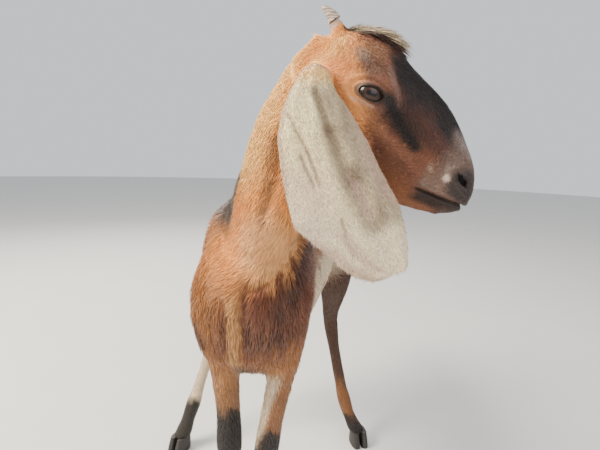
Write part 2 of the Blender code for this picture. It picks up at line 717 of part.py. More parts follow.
def slit_prism(name, matrix, coll):
    """Almond opening between the lids, from the eye's middle outwards."""
    rings = []
    for depth, grow in EYE_SLIT_ENDS:
        ring = []
        for i in range(EYE_SLIT_SIDES):
            angle = 2 * math.pi * i / EYE_SLIT_SIDES
            x = EYE_SLIT * math.cos(angle)
            y = EYE_SLIT_HEIGHT * signed_power(math.sin(angle), EYE_SLIT_POWER)
            ring.append(matrix @ Vector((x * grow, y * grow, depth)))
        rings.append(ring)
    return loft_object(name, rings, coll)


def make_eyes(coll, head):
    for name, side in (("eye_right", -1), ("eye_left", 1)):
        matrix = eye_matrix(side)
        bm = bmesh.new()
        lid = EYE_RADIUS + LID_THICK
        ellipsoid(bm, matrix, (lid, lid, lid), 22, 14)
        lids = object_from_bmesh(name + "_lids", bm, coll)
        boolean(head, lids, "UNION", "MANIFOLD")
        slit = slit_prism(name + "_slit", matrix, coll)
        boolean(head, slit, "DIFFERENCE", "MANIFOLD")
        bm = bmesh.new()
        hollow = EYE_RADIUS + GAP
        ellipsoid(bm, matrix, (hollow, hollow, hollow), 20, 12)
        socket = object_from_bmesh(name + "_socket", bm, coll)
        boolean(head, socket, "DIFFERENCE", "MANIFOLD")
        discard(lids, slit, socket)
        keep_largest(head)
        bm = bmesh.new()
        ellipsoid(bm, matrix, (EYE_RADIUS, EYE_RADIUS, EYE_RADIUS), 20, 12)
        eye = object_from_bmesh(name, bm, coll)
        paint(eye)


def claw_rings(centre, toe, inward):
    """Wall of one claw from the sole to the coronet, flat on the inner side."""
    side = Vector((toe.y, -toe.x, 0.0)) * inward
    rings = []
    for level, grow, shift in CLAW_LEVELS:
        ring = []
        for i in range(CLAW_SIDES):
            angle = 2 * math.pi * i / CLAW_SIDES
            c, s = math.cos(angle), math.sin(angle)
            along = CLAW_LENGTH * grow * 0.5 * signed_power(c, CLAW_POWERS[0])
            across = CLAW_WIDTH * grow * 0.5 * signed_power(s, CLAW_POWERS[1 if s > 0 else 2])
            point = centre + toe * (along - CLAW_LEAN * shift) - side * across
            point.z = level
            ring.append(point)
        rings.append(ring)
    return rings


def make_claws(coll, foot, joints, toe_out):
    side = 1.0 if joints[4][0] > 0 else -1.0
    toe = Vector((math.sin(toe_out) * side, -math.cos(toe_out), 0.0))
    right = Vector((-toe.y, toe.x, 0.0))
    pastern = Vector(joints[4]) - Vector(joints[3])
    sole = Vector(joints[4]) + pastern * PASTERN_REACH + toe * SOLE_AHEAD
    sole.z = 0.0
    for tag, sign in (("outer", 1.0), ("inner", -1.0)):
        away = right * (sign * side)
        centre = sole + away * (CLAW_WIDTH / 2 + CLAW_SPREAD)
        rings = claw_rings(centre, toe, sign * side)
        claw = loft_object("hoof_%s_%s" % (foot, tag), rings, coll)
        paint(claw)


def mouth_section(angle):
    """Wedge section of the mouth line at a plan angle, 0 right corner to pi left."""
    c, s = math.cos(angle), math.sin(angle)
    length = MOUTH_FRONT[0] - MOUTH_CORNER[0]
    along = MOUTH_CORNER[0] + length * s
    across = -MOUTH_HALF * signed_power(c, MOUTH_POWER)
    t = MOUTH_CORNER[1] + (MOUTH_FRONT[1] - MOUTH_CORNER[1]) * max(s, 0.0) ** MOUTH_RISE_POWER
    out_s = max(s, 0.0) ** MOUTH_TURN_POWERS[0]
    out_l = -signed_power(c, MOUTH_TURN_POWERS[1])
    size = math.hypot(out_s, out_l)
    out_s, out_l = out_s / size, out_l / size
    taper = min(1.0, MOUTH_TAPER[0] + MOUTH_TAPER[1] * s)
    points = []
    for reach, half in ((MOUTH_OUT, MOUTH_WIDE), (-MOUTH_DEEP * taper, MOUTH_EDGE)):
        for sign in (1, -1):
            points.append(head_point(along + out_s * reach, across + out_l * reach,
                                     t + sign * half * (0.5 + 0.5 * taper)))
    return [points[0], points[1], points[3], points[2]]


def cut_mouth(coll, head):
    rings = []
    for i in range(MOUTH_STEPS + 1):
        rings.append(mouth_section(math.pi * i / MOUTH_STEPS))
    line = loft_object("mouth_line", rings, coll)
    boolean(head, line, "DIFFERENCE", "MANIFOLD")
    discard(line)


def cut_nostrils(coll, head):
    for side in (-1, 1):
        s, l, t = NOSTRIL_AT
        turn = Matrix.Rotation(-NOSTRIL_TILT, 4, "Y") @ Matrix.Rotation(side * NOSTRIL_SWING, 4, "Z")
        bm = bmesh.new()
        ellipsoid(bm, head_matrix(s, side * l, t) @ turn, NOSTRIL_RADII, 14, 8)
        hollow = object_from_bmesh("nostril", bm, coll)
        boolean(head, hollow, "DIFFERENCE", "MANIFOLD")
        discard(hollow)


def surface_point(tree, s, l):
    """Point of the head's top surface at s and l."""
    hit = tree.ray_cast(head_point(s, l, ABOVE_HEAD), -head_axes()[2])
    return hit[0]


def lock_rings(centres, outs, width):
    """Flat tapered lock along its centres, with its flat face towards outs."""
    rings = []
    last = len(centres) - 1
    for i, (centre, out, grow) in enumerate(zip(centres, outs, LOCK_PROFILE)):
        along = (centres[min(i + 1, last)] - centres[max(i - 1, 0)]).normalized()
        side = along.cross(out).normalized()
        normal = side.cross(along).normalized()
        half = width * 0.5 * grow
        thick = half * LOCK_THICK + LOCK_TIP
        ring = []
        for k in range(LOCK_SIDES):
            angle = 2 * math.pi * k / LOCK_SIDES
            across, out_by = half * math.cos(angle), thick * math.sin(angle)
            ring.append(centre + side * across + normal * out_by)
        rings.append(ring)
    return rings


def fuse_locks(ob, locks, name):
    """Join every lock to its node with one union and keep the one closed body."""
    group = bpy.data.collections.new(name)
    bpy.context.scene.collection.children.link(group)
    for i, rings in enumerate(locks):
        loft_object("%s_%02d" % (name, i), rings, group)
    join = ob.modifiers.new("locks", "BOOLEAN")
    join.operation = "UNION"
    join.operand_type = "COLLECTION"
    join.collection = group
    join.solver = "MANIFOLD"
    apply_modifiers(ob)
    discard(*list(group.objects))
    bpy.data.collections.remove(group)
    bm = bmesh.new()
    bm.from_mesh(ob.data)
    bmesh.ops.remove_doubles(bm, verts=bm.verts, dist=LOCK_WELD)
    bm.to_mesh(ob.data)
    bm.free()
    keep_largest(ob)


def add_forelock(head):
    """Overlapping locks that follow the forehead from the poll towards the nose."""
    tree = BVHTree.FromPolygons([v.co for v in head.data.vertices],
                                [p.vertices[:] for p in head.data.polygons])
    dorsal = head_axes()[2]
    last = len(LOCK_PROFILE) - 1
    locks = []
    for i in range(FORELOCK_COUNT):
        row = (i * GOLDEN) % 1.0
        s = FORELOCK_S[0] + (FORELOCK_S[1] - FORELOCK_S[0]) * (i + 0.5) / FORELOCK_COUNT
        l = FORELOCK_HALF * (2.0 * row - 1.0)
        length = random.uniform(*FORELOCK_LENGTH)
        drift = l * 0.35 + random.uniform(-0.003, 0.003)
        rise = random.uniform(*FORELOCK_RISE)
        centres = []
        for k in range(last + 1):
            u = k / last
            at = surface_point(tree, s + length * u, l + drift * u)
            centres.append(at + dorsal * (rise * u ** 0.7 - LOCK_SUNK * (1.0 - u) ** 2))
        width = FORELOCK_WIDTH * random.uniform(0.85, 1.2)
        locks.append(lock_rings(centres, [dorsal] * (last + 1), width))
    fuse_locks(head, locks, "forelock")


def add_tail_tuft(tail):
    """Overlapping locks along the sides, top and tip of the tail."""
    middles = [Vector(c) for c, _a, _b in TAIL_STATIONS]
    side = Vector((1, 0, 0))
    last = len(LOCK_PROFILE) - 1
    locks = []
    for i in range(TAIL_LOCKS):
        t = TAIL_LOCK_FROM + (TAIL_LOCK_TO - TAIL_LOCK_FROM) * i / (TAIL_LOCKS - 1)
        angle = 2 * math.pi * ((i * GOLDEN) % 1.0)
        length = random.uniform(*TAIL_LOCK_LENGTH)
        spread = random.uniform(0.75, 1.15)
        start = catmull(middles, t)
        way = (catmull(middles, t + 0.1) - catmull(middles, t - 0.1)).normalized()
        dorsal = way.cross(side).normalized()
        out = side * math.cos(angle) + dorsal * math.sin(angle)
        k = min(int(t), len(TAIL_STATIONS) - 2)
        u = t - k
        half = TAIL_STATIONS[k][1] * (1 - u) + TAIL_STATIONS[k + 1][1] * u
        centres = []
        for j in range(last + 1):
            v = j / last
            near, spring, droop = TAIL_LOCK_REACH
            reach = half * (near + spring * spread * v - droop * v * v)
            bend = way.lerp(Vector((0.0, 0.0, -1.0)), TAIL_LOCK_FALL * v).normalized()
            centres.append(start + out * reach + bend * (length * v))
        width = TAIL_LOCK_WIDTH * random.uniform(0.85, 1.15)
        locks.append(lock_rings(centres, [out] * (last + 1), width))
    fuse_locks(tail, locks, "tail_tuft")


COLOURS = {
    "head": ((0.16, 0.075, 0.035), 0.8),
    "neck": ((0.55, 0.33, 0.16), 0.8),
    "torso": ((0.38, 0.20, 0.09), 0.8),
    "tail": ((0.09, 0.05, 0.03), 0.8),
    "leg": ((0.16, 0.09, 0.05), 0.8),
    "ear": ((0.50, 0.43, 0.33), 0.8),
    "eye": ((0.06, 0.035, 0.02), 0.1),
    "horn": ((0.45, 0.40, 0.33), 0.5),
    "hoof": ((0.03, 0.025, 0.02), 0.5),
}


def paint(ob):
    key = next(k for k in COLOURS if k in ob.name)
    colour, rough = COLOURS[key]
    mat = bpy.data.materials.new(ob.name)
    mat.use_nodes = True
    bsdf = mat.node_tree.nodes["Principled BSDF"]
    bsdf.inputs["Base Color"].default_value = (*colour, 1.0)
    bsdf.inputs["Roughness"].default_value = rough
    bsdf.inputs["Metallic"].default_value = 0.0
    ob.data.materials.clear()
    ob.data.materials.append(mat)


def make_head(coll):
    head = flesh_object("head", coll, False)
    fuse(head, HEAD_VOXEL)
    thin_out(head, HEAD_TRIANGLES)
    cut_plane(head, HEAD_CUT + HEAD_CUT_NORMAL * (GAP / 2), -HEAD_CUT_NORMAL)
    keep_largest(head)
    make_ears(coll, head)
    make_horns(coll, head)
    make_eyes(coll, head)
    cut_mouth(coll, head)
    cut_nostrils(coll, head)
    add_forelock(head)
    paint(head)


def make_trunk(coll, cutters):
    flesh = flesh_object("flesh", coll, True)
    fuse(flesh, BODY_VOXEL)
    soften_trunk(flesh)
    coarse = duplicate(flesh, "coarse", coll)
    thin_out(coarse, BODY_TRIANGLES)
    thin_out(flesh, LEG_TRIANGLES)
    half = GAP / 2
    neck = duplicate(coarse, "neck", coll)
    cut_plane(neck, NECK_CUT + NECK_CUT_NORMAL * half, -NECK_CUT_NORMAL)
    cut_plane(neck, HEAD_CUT - HEAD_CUT_NORMAL * half, HEAD_CUT_NORMAL)
    keep_largest(neck)
    paint(neck)
    torso = duplicate(coarse, "torso", coll)
    cut_plane(torso, NECK_CUT - NECK_CUT_NORMAL * half, NECK_CUT_NORMAL)
    block = tail_block(cutters)
    boolean(torso, block, "DIFFERENCE")
    for name, (low, high, lift) in LEG_REGIONS.items():
        leg = duplicate(flesh, name, coll)
        region = box_region(name + "_region", low, high, cutters, lift)
        boolean(leg, region, "INTERSECT")
        cut_plane(leg, Vector((0, 0, CORONET)), Vector((0, 0, -1)))
        keep_largest(leg)
        paint(leg)
        wide = box_region(name + "_cut", [v - GAP for v in low],
                          (high[0] + GAP, high[1] + GAP, high[2] + GAP), cutters, lift)
        boolean(torso, wide, "DIFFERENCE")
    keep_largest(torso)
    paint(torso)
    discard(flesh, coarse)


def make_tail(coll):
    tail = loft_object("tail", tail_rings(), coll)
    cut_plane(tail, TAIL_CUT + TAIL_CUT_NORMAL * (GAP / 2), -TAIL_CUT_NORMAL)
    add_tail_tuft(tail)
    paint(tail)


def finish(coll):
    """Put the bottom centre of the whole box on the origin."""
    points = [v.co for ob in coll.objects for v in ob.data.vertices]
    low = Vector([min(p[i] for p in points) for i in range(3)])
    high = Vector([max(p[i] for p in points) for i in range(3)])
    shift = Vector((-(low.x + high.x) / 2, -(low.y + high.y) / 2, -low.z))
    for ob in coll.objects:
        ob.data.transform(Matrix.Translation(shift))
        ob.data.shade_smooth()


def main():
    clear_scene()
    random.seed(SEED)
    coll = collection(NAME)
    cutters = collection("cutters")
    make_head(coll)
    make_trunk(coll, cutters)
    make_tail(coll)
    make_claws(coll, "front_left", FRONT_JOINTS_LEFT, FRONT_TOE_OUT)
    make_claws(coll, "front_right", FRONT_JOINTS_RIGHT, FRONT_TOE_OUT)
    make_claws(coll, "hind_left", HIND_JOINTS_LEFT, HIND_TOE_OUT)
    make_claws(coll, "hind_right", HIND_JOINTS_RIGHT, HIND_TOE_OUT)
    finish(coll)


main()
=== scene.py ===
"""Looks of the young Nubian goat: one skin over the flesh solids, its coat in mesh tufts,
eyes with lids, horns, hooves, and a plain studio.

Metres, in the solids' own frame.  Places on the animal are given in the kid's frame,
whose y is 0 between the forelegs, or in the head's frame: s to the nose, l to the
kid's left, t up from the forehead.
"""
import math

import bmesh
import bpy
import numpy as np
from mathutils import Matrix, Vector
from mathutils.bvhtree import BVHTree


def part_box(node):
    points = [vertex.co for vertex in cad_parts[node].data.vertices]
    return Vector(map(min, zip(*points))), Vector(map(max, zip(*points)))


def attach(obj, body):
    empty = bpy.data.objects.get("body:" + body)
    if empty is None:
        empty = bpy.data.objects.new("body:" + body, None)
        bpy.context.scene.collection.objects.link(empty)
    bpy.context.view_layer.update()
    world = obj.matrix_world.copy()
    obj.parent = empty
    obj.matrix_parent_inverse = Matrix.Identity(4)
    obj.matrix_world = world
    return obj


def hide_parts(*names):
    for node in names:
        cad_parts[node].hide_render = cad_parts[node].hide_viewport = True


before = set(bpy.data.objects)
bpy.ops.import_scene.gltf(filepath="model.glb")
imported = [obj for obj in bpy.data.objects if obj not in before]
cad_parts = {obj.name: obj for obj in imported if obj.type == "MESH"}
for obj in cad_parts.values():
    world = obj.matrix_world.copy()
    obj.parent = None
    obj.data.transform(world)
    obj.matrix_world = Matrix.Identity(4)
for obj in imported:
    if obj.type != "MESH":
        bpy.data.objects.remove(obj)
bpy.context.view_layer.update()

RNG = np.random.default_rng(7)

# Head's frame, worked out from the two eyes
HEAD_PITCH = math.radians(44.2)
HEAD_YAW = math.radians(-4.0)
EYE_S, EYE_T = 0.0620, -0.0206
POLL = np.array((0.114, -0.103, 0.737))

# Skin
SKIN_VOXEL = 0.0014
SKIN_GROW = 0.0004
SKIN_TRIANGLES = 190000
WELD = 0.00005
# Steps of smoothing: everywhere, on poll and tail, on the body, of the coat's depth, of the relief
SMOOTH_STEPS = {"all": 5, "soft": 45, "body": 16}
DEPTH_STEPS = 12
RELIEF_STEPS = 3
# How much more head and ears resist thinning than the body: a small factor is already plenty
THIN_EVENLY = 1.0e-6
FLESH = ("head", "neck", "torso", "tail", "ear_left", "ear_right", "front_leg_left",
         "front_leg_right", "hind_leg_left", "hind_leg_right")
# Skin colour against the coat over it
SKIN_SHADE = 0.80
# How far the skin lies inside each solid
COAT_DEPTH = {"head": 0.0009, "neck": 0.0018, "torso": 0.0017, "tail": 0.0030, "ear": 0.0005,
              "leg": 0.0012}

# Coat by region: tufts in all, length, width, stand-off of the tip, bends in each tuft
TUFTS = {
    "head": (58000, 0.0064, 0.00078, 0.0010, 0),
    "neck": (16000, 0.0160, 0.00135, 0.0019, 1),
    "torso": (43000, 0.0145, 0.00155, 0.0018, 1),
    "leg": (56000, 0.0082, 0.00100, 0.0010, 0),
    "ear": (46000, 0.0042, 0.00062, 0.0006, 0),
    "tail": (2600, 0.0180, 0.00140, 0.0018, 1),
}
PIECE_TRIANGLES = 185000
ROOT_SUNK = {0: 0.00025, 1: 0.0008}
TUFT_ROUND = 0.28
BAKE_PATCH = 0.003
TIP_SHADE = 1.14
# Share of the tufts that are flecks, paler than the rest
FLECKS = 0.06
FORELOCK_TUFTS = 2800
TAIL_TUFTS = 1100
RIB_SPACING = 0.026

# Marks on the head, in its s and t
MOUTH_CORNER = (0.1575, -0.0474)
MOUTH_FRONT = (0.2040, -0.0265)
NOSTRIL_AT = (0.1810, -0.0115)
NOSTRIL_TILT = math.radians(-14.0)
NOSTRIL_HALF = (0.0086, 0.0021)
NOSTRIL_FROM_MIDDLE = 0.010

# The near ear's root in the kid's x and z, how far the other ear lies from it in x,
# its axes across, through and along, and the mid surface fitted to each ear
EAR_ROOT = (0.0920, 0.7000)
EAR_SHIFT = 0.008
EAR_TURN = np.array(((0.930, 0.0, 0.367), (0.0, 1.0, 0.0), (0.367, 0.0, -0.930))).T
EAR_FITS = {}

# Folds of the ear in x and z: start, end, half width, weight of the groove and of its painted shadow; and
# its fine lines, grooves with painted shade along them
EAR_FOLDS = (((0.093, 0.680), (0.107, 0.645), 0.0036, 0.85),
             ((0.107, 0.645), (0.127, 0.600), 0.0062, 0.90),
             ((0.130, 0.604), (0.150, 0.566), 0.0115, 0.80))
EAR_LINES = (((0.069, 0.658), (0.088, 0.627)), ((0.088, 0.627), (0.101, 0.596)),
             ((0.082, 0.622), (0.096, 0.594)), ((0.122, 0.566), (0.127, 0.548)),
             ((0.127, 0.548), (0.136, 0.532)))

# Grooves of the neck and chest seen from the front: start, end, half width, depth
CHEST_GROOVES = (((0.056, 0.655), (0.046, 0.600), 0.0075, 0.0040),
                 ((0.046, 0.600), (0.030, 0.548), 0.0075, 0.0034),
                 ((0.066, 0.520), (0.046, 0.472), 0.0065, 0.0030),
                 ((0.046, 0.472), (0.012, 0.455), 0.0065, 0.0024),
                 ((0.008, 0.458), (0.007, 0.362), 0.0052, 0.0034),
                 ((-0.017, 0.450), (-0.021, 0.365), 0.0058, 0.0034),
                 ((-0.048, 0.415), (-0.020, 0.335), 0.0060, 0.0030),
                 ((0.054, 0.410), (0.024, 0.330), 0.0060, 0.0030),
                 ((-0.020, 0.560), (-0.042, 0.480), 0.0080, 0.0026))

# Bones and hollows of the face, in s, distance from the middle, and t: start, end, half width, height
FACE_RIDGES = (((0.046, 0.046, -0.009), (0.078, 0.043, -0.004), 0.0040, 0.0012),
               ((0.078, 0.041, -0.0150), (0.096, 0.037, -0.0185), 0.0024, -0.0012),
               ((0.080, 0.042, -0.038), (0.135, 0.031, -0.034), 0.0055, 0.0013),
               ((0.090, 0.041, -0.051), (0.150, 0.030, -0.043), 0.0048, -0.0013),
               ((0.070, 0.036, 0.004), (0.130, 0.027, 0.002), 0.0040, -0.0008))

# Flank spots: place, half length, half height
FLANK_SPOTS = ((0.090, 0.104, 0.438, 0.0065, 0.0170), (0.108, 0.215, 0.455, 0.013, 0.012),
               (0.108, 0.300, 0.408, 0.010, 0.010), (0.106, 0.262, 0.482, 0.009, 0.008),
               (0.104, 0.172, 0.400, 0.010, 0.012), (-0.105, 0.205, 0.462, 0.014, 0.012),
               (-0.106, 0.275, 0.420, 0.010, 0.009), (-0.105, 0.245, 0.490, 0.009, 0.008))

# Colours, as sRGB out of 255
GOLD = (236, 152, 62)
GOLD_LIT = (255, 206, 118)
GOLD_FACE = (236, 158, 88)
TAN = (166, 108, 56)
RED_BROWN = (132, 76, 48)
CHEEK = (132, 82, 58)
JAW_TAN = (148, 94, 58)
FACE_DARK = (72, 42, 36)
BROWN = (98, 56, 34)
# Brown of the chest with painted shade in it, on the side turned from the light
CHEST_SHADED_BROWN = (110, 56, 32)
DARK_BROWN = (50, 29, 20)
BLACK = (20, 15, 13)
CREAM = (232, 212, 180)
SADDLE = (64, 48, 39)
BLOND = (226, 206, 170)
MUZZLE_GREY = (120, 98, 86)
LIP = (34, 23, 20)
HORN_GREY = (198, 180, 162)
CHEEK_LIT = (162, 108, 80)
BELOW_EYE = (176, 118, 72)
MID_FACE = (82, 50, 43)
TEMPLE = (160, 116, 84)
POLL_TAN = (196, 140, 98)
FOREHEAD = (66, 40, 36)
FORELOCK = (66, 40, 34)
BROW = (104, 74, 58)
SCAR = (142, 128, 116)
BRIDGE = (31, 24, 24)
BRIDGE_EDGE = (150, 116, 104)
EYE_HAZE = (52, 33, 29)
EYE_RIM = (36, 24, 20)
LID_LIT = (206, 164, 138)
# Frosted grey hair on top of the muzzle, with a painted highlight
MUZZLE_FROST_AND_HIGHLIGHT = (162, 150, 146)
MUZZLE_FLECK = (176, 160, 150)
NOSE = (40, 33, 33)
NOSE_TIP = (58, 48, 46)
WHITE_SPOT = (236, 214, 196)
PALE_SPOT = (196, 170, 150)
CHIN_TIP = (84, 62, 52)
# Painted shade in the crease of the mouth
MOUTH_LINE_SHADE = (24, 18, 17)
# Painted shade inside the nostrils
NOSTRIL_SHADE = (20, 15, 15)
PEACH = (244, 190, 130)
# Painted shade in the groove down the neck
NECK_GROOVE_SHADE = (158, 106, 66)
SIDE_TAN = (156, 108, 74)
FLANK_SPOT = (112, 78, 56)
# Painted shade, darkest on the chest
CHEST_DEEP_SHADE = (62, 36, 27)
CHEST_FLECK = (150, 96, 64)
CHEST_SECOND = (140, 86, 48)
CHEST_STREAK = (100, 58, 34)
KEEL = (214, 160, 96)
# Painted shade between the forelegs, in the armpit and at the elbow
BETWEEN_LEGS_SHADE = (58, 40, 28)
ARMPIT_SHADE = (70, 50, 40)
ELBOW_SHADE = (84, 54, 38)
FORELEG_TAN = (166, 120, 82)
FORELEG_GOLD = (168, 114, 58)
FORELEG_BROWN = (158, 106, 64)
HIND_BROWN = (86, 54, 35)
EAR_CREAM = (255, 238, 190)
EAR_GREY = (206, 182, 152)
EAR_TIP = (244, 232, 204)
EAR_PINK = (232, 208, 194)
# Painted shade on the front strip of the ear
EAR_FRONT_SHADE = (160, 138, 118)
# Painted shadow in the ear's folds, and painted shade along its fine grooves
EAR_FOLD_SHADOW = (122, 98, 78)
EAR_LINE_SHADE = (158, 128, 104)
EAR_LINING = (206, 172, 154)
SCLERA = (56, 42, 38)
IRIS = (58, 38, 27)
IRIS_EDGE = (30, 22, 19)
PUPIL = (14, 12, 14)

# Where each leg's colour runs up the trunk: side, y from and to, z where it is full and gone
LEG_ROOTS = {"front_leg_left": (1, -0.08, 0.08, 0.300, 0.340),
             "front_leg_right": (-1, -0.08, 0.08, 0.300, 0.340),
             "hind_leg_left": (1, 0.28, 0.62, 0.330, 0.420),
             "hind_leg_right": (-1, 0.24, 0.62, 0.330, 0.420)}


def smooth(low, high, x):
    """0 below low, 1 above high, rounded between; low may be the larger."""
    u = np.clip((x - low) / (high - low), 0.0, 1.0)
    return u * u * (3.0 - 2.0 * u)


def linear(colour):
    c = np.array(colour, float) / 255.0
    return np.where(c <= 0.04045, c / 12.92, ((c + 0.055) / 1.055) ** 2.4)


def noise(points, scale, seed):
    """Smooth noise about -1 to 1 from a few crossing waves."""
    rng = np.random.default_rng(seed)
    total = np.zeros(len(points))
    weight = 0.0
    for octave in range(3):
        grow = 2.1 ** octave
        for _ in range(5):
            way = rng.normal(size=3)
            way /= np.linalg.norm(way)
            phase = rng.uniform(0, 2 * math.pi)
            total += np.sin(points @ way * scale * grow * rng.uniform(0.7, 1.4) + phase) / grow
        weight += 1.0 / grow
    return total / (weight * 2.2)


def unit(rows):
    return rows / np.maximum(np.linalg.norm(rows, axis=-1, keepdims=True), 1e-9)


def node_centre(name):
    low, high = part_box(name)
    return (np.array(low) + np.array(high)) / 2


def head_axes():
    cp, sp = math.cos(HEAD_PITCH), math.sin(HEAD_PITCH)
    cy, sy = math.cos(HEAD_YAW), math.sin(HEAD_YAW)
    ahead = np.array((cp * cy, cp * sy, -sp))
    left = np.array((-sy, cy, 0.0))
    return ahead, left, np.cross(ahead, left)


AHEAD, LEFT, DORSAL = head_axes()
EYES = {"right": node_centre("eye_right"), "left": node_centre("eye_left")}
HEAD_ORIGIN = (EYES["right"] + EYES["left"]) / 2 - AHEAD * EYE_S - DORSAL * EYE_T
SHIFT = HEAD_ORIGIN - POLL


def to_kid(points):
    return points - SHIFT


def to_head(points):
    d = points - HEAD_ORIGIN
    return np.stack((d @ AHEAD, d @ LEFT, d @ DORSAL), axis=-1)


HORN_AT = to_head(node_centre("horn_left"))


# The skin's regions

def flesh_lookup():
    """Nearest flesh node of any point, by one tree over all of them."""
    corners, faces, owner = [], [], []
    for index, name in enumerate(FLESH):
        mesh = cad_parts[name].data
        base = len(corners)
        corners.extend(v.co.copy() for v in mesh.vertices)
        for polygon in mesh.polygons:
            faces.append([base + i for i in polygon.vertices])
            owner.append(index)
    tree = BVHTree.FromPolygons(corners, faces)
    return tree, np.array(owner)


def regions_of(points):
    tree, owner = flesh_lookup()
    found = np.array([tree.find_nearest(p)[2] for p in points])
    return owner[found]


def kind_of(name):
    for kind in ("ear", "leg"):
        if kind in name:
            return kind
    return name


KINDS = [kind_of(name) for name in FLESH]


# Markings, shared by the skin and its coat

def patch(points, centre, radii, soft=0.35, rough=0.0, seed=1, scale=90.0):
    """Weight of an ellipsoidal mark with a soft, uneven edge."""
    d = np.linalg.norm((points - np.array(centre)) / np.array(radii), axis=-1)
    if rough:
        d = d + rough * noise(points, scale, seed)
    return smooth(1.0 + soft, 1.0 - soft, d)


def beside_line(points, start, end):
    """How far along a line each point is, 0 to 1, and its distance from the line."""
    start, end = np.array(start), np.array(end)
    line = end - start
    u = np.clip(((points - start) @ line) / (line @ line), 0.0, 1.0)
    return u, np.linalg.norm(points - start - u[:, None] * line, axis=-1)


def band(points, start, end, half, soft=0.4):
    """Weight of a stripe from start to end."""
    _u, d = beside_line(points, start, end)
    return smooth(1.0 + soft, 1.0 - soft, d / half)


def blend(colours, weight, colour):
    return colours + (linear(colour) - colours) * weight[:, None]


def painted(count, base, marks):
    """A base colour with marks laid over it in turn, each a weight and a colour."""
    colours = np.tile(linear(base), (count, 1))
    for weight, colour in marks:
        colours = blend(colours, weight, colour)
    return colours


def mirrored_head(points):
    """Head frame with both sides laid on one: s, distance from the middle, t."""
    h = to_head(points)
    return np.stack((h[:, 0], np.abs(h[:, 1]), h[:, 2]), axis=-1)


def oval(m, centre, half_long, half_wide, tilt):
    """Distance from a tilted oval's middle in the s-t plane, 1 on its edge."""
    ds, dt = m[:, 0] - centre[0], m[:, 2] - centre[1]
    c, s = math.cos(tilt), math.sin(tilt)
    return np.hypot((ds * c + dt * s) / half_long, (dt * c - ds * s) / half_wide)


def above_mouth(m):
    """Height over the line of the mouth."""
    slope = (MOUTH_FRONT[1] - MOUTH_CORNER[1]) / (MOUTH_FRONT[0] - MOUTH_CORNER[0])
    return m[:, 2] - MOUTH_CORNER[1] - slope * (m[:, 0] - MOUTH_CORNER[0])


FLATTEN = np.array((1.0, 0.0, 1.0))


def streak(points, start, end, half, soft=0.5):
    """Stripe given in the first and last coordinates alone."""
    return band(points * FLATTEN, (start[0], 0.0, start[1]), (end[0], 0.0, end[1]), half, soft)


def cheek_marks(m, wave):
    """Tan jaw, lighter cheek, and the dark upper half of the face."""
    s, _l, t = m.T
    high = smooth(-0.004, 0.006, t + wave - 0.010 * smooth(0.085, 0.060, s)) * smooth(0.040, 0.056, s)
    middle = smooth(0.082, 0.096, s) * smooth(-0.020, -0.006, t + wave)
    return [(smooth(-0.046, -0.062, t + wave), JAW_TAN),
            (0.5 * patch(m, (0.112, 0.035, -0.036), (0.026, 0.03, 0.007), 0.6), CHEEK_LIT),
            (0.55 * patch(m, (0.076, 0.040, -0.037), (0.022, 0.03, 0.010), 0.6), BELOW_EYE),
            (0.92 * high, FACE_DARK),
            (0.80 * middle, MID_FACE)]


def crown_marks(m, wave):
    """Gold behind the eye and on the poll, dark forehead, brow and the grey scar over it."""
    s, l, t = m.T
    edge = 0.030 - 1.4 * t
    gold = smooth(edge + 0.010, edge - 0.012, s + 2.0 * wave) * smooth(-0.066, -0.048, t)
    poll = smooth(0.016, -0.002, s + wave) * smooth(-0.004, 0.006, t)
    fore = smooth(0.030, 0.020, l) * smooth(-0.004, 0.004, s) * smooth(0.060, 0.044, s)
    return [(0.7 * patch(m, (0.038, 0.035, 0.010), (0.014, 0.04, 0.007), 0.5), TEMPLE),
            (gold * smooth(0.020, 0.010, t), GOLD_FACE),
            (smooth(0.024, 0.000, s + wave) * smooth(0.006, -0.006, t), GOLD_LIT),
            (0.8 * poll, POLL_TAN),
            (0.9 * fore * smooth(0.0, 0.008, t), FOREHEAD),
            (0.75 * patch(m, (0.046, 0.040, -0.003), (0.013, 0.03, 0.008), 0.5), BROW),
            (0.6 * patch(m, (0.031, 0.040, -0.001), (0.009, 0.02, 0.005), 0.4), SCAR)]


def bridge_marks(m, wave):
    """Black bridge of the nose, black stripe below the eye, and the eye's dark rim."""
    s, _l, t = m.T
    strands = noise(m * np.array((0.25, 1.0, 1.0)), 520.0, 18) * 0.002
    bridge = smooth(0.002, 0.015, t + 2.0 * wave + strands) * smooth(0.040, 0.062, s + 3.0 * strands)
    bridge = bridge * smooth(0.174, 0.146, s + 2.0 * wave + 4.0 * strands)
    rim = oval(m, (EYE_S + 0.0008, EYE_T + 0.0006), 0.0146, 0.0076, SLIT_TILT)
    return [(0.96 * bridge, BRIDGE),
            (0.75 * streak(m, (0.056, 0.0085), (0.087, -0.0065), 0.0026), BRIDGE_EDGE),
            (0.72 * patch(m, (0.098, 0.04, -0.0145), (0.036, 0.05, 0.0115), 0.45, 0.15, 15), EYE_HAZE),
            (0.95 * streak(m, (0.078, -0.0115), (0.127, -0.0205), 0.0050), BLACK),
            (0.90 * smooth(1.20, 0.94, rim), EYE_RIM),
            (0.8 * streak(m, (0.0535, -0.0345), (0.0735, -0.0262), 0.0013), LID_LIT)]


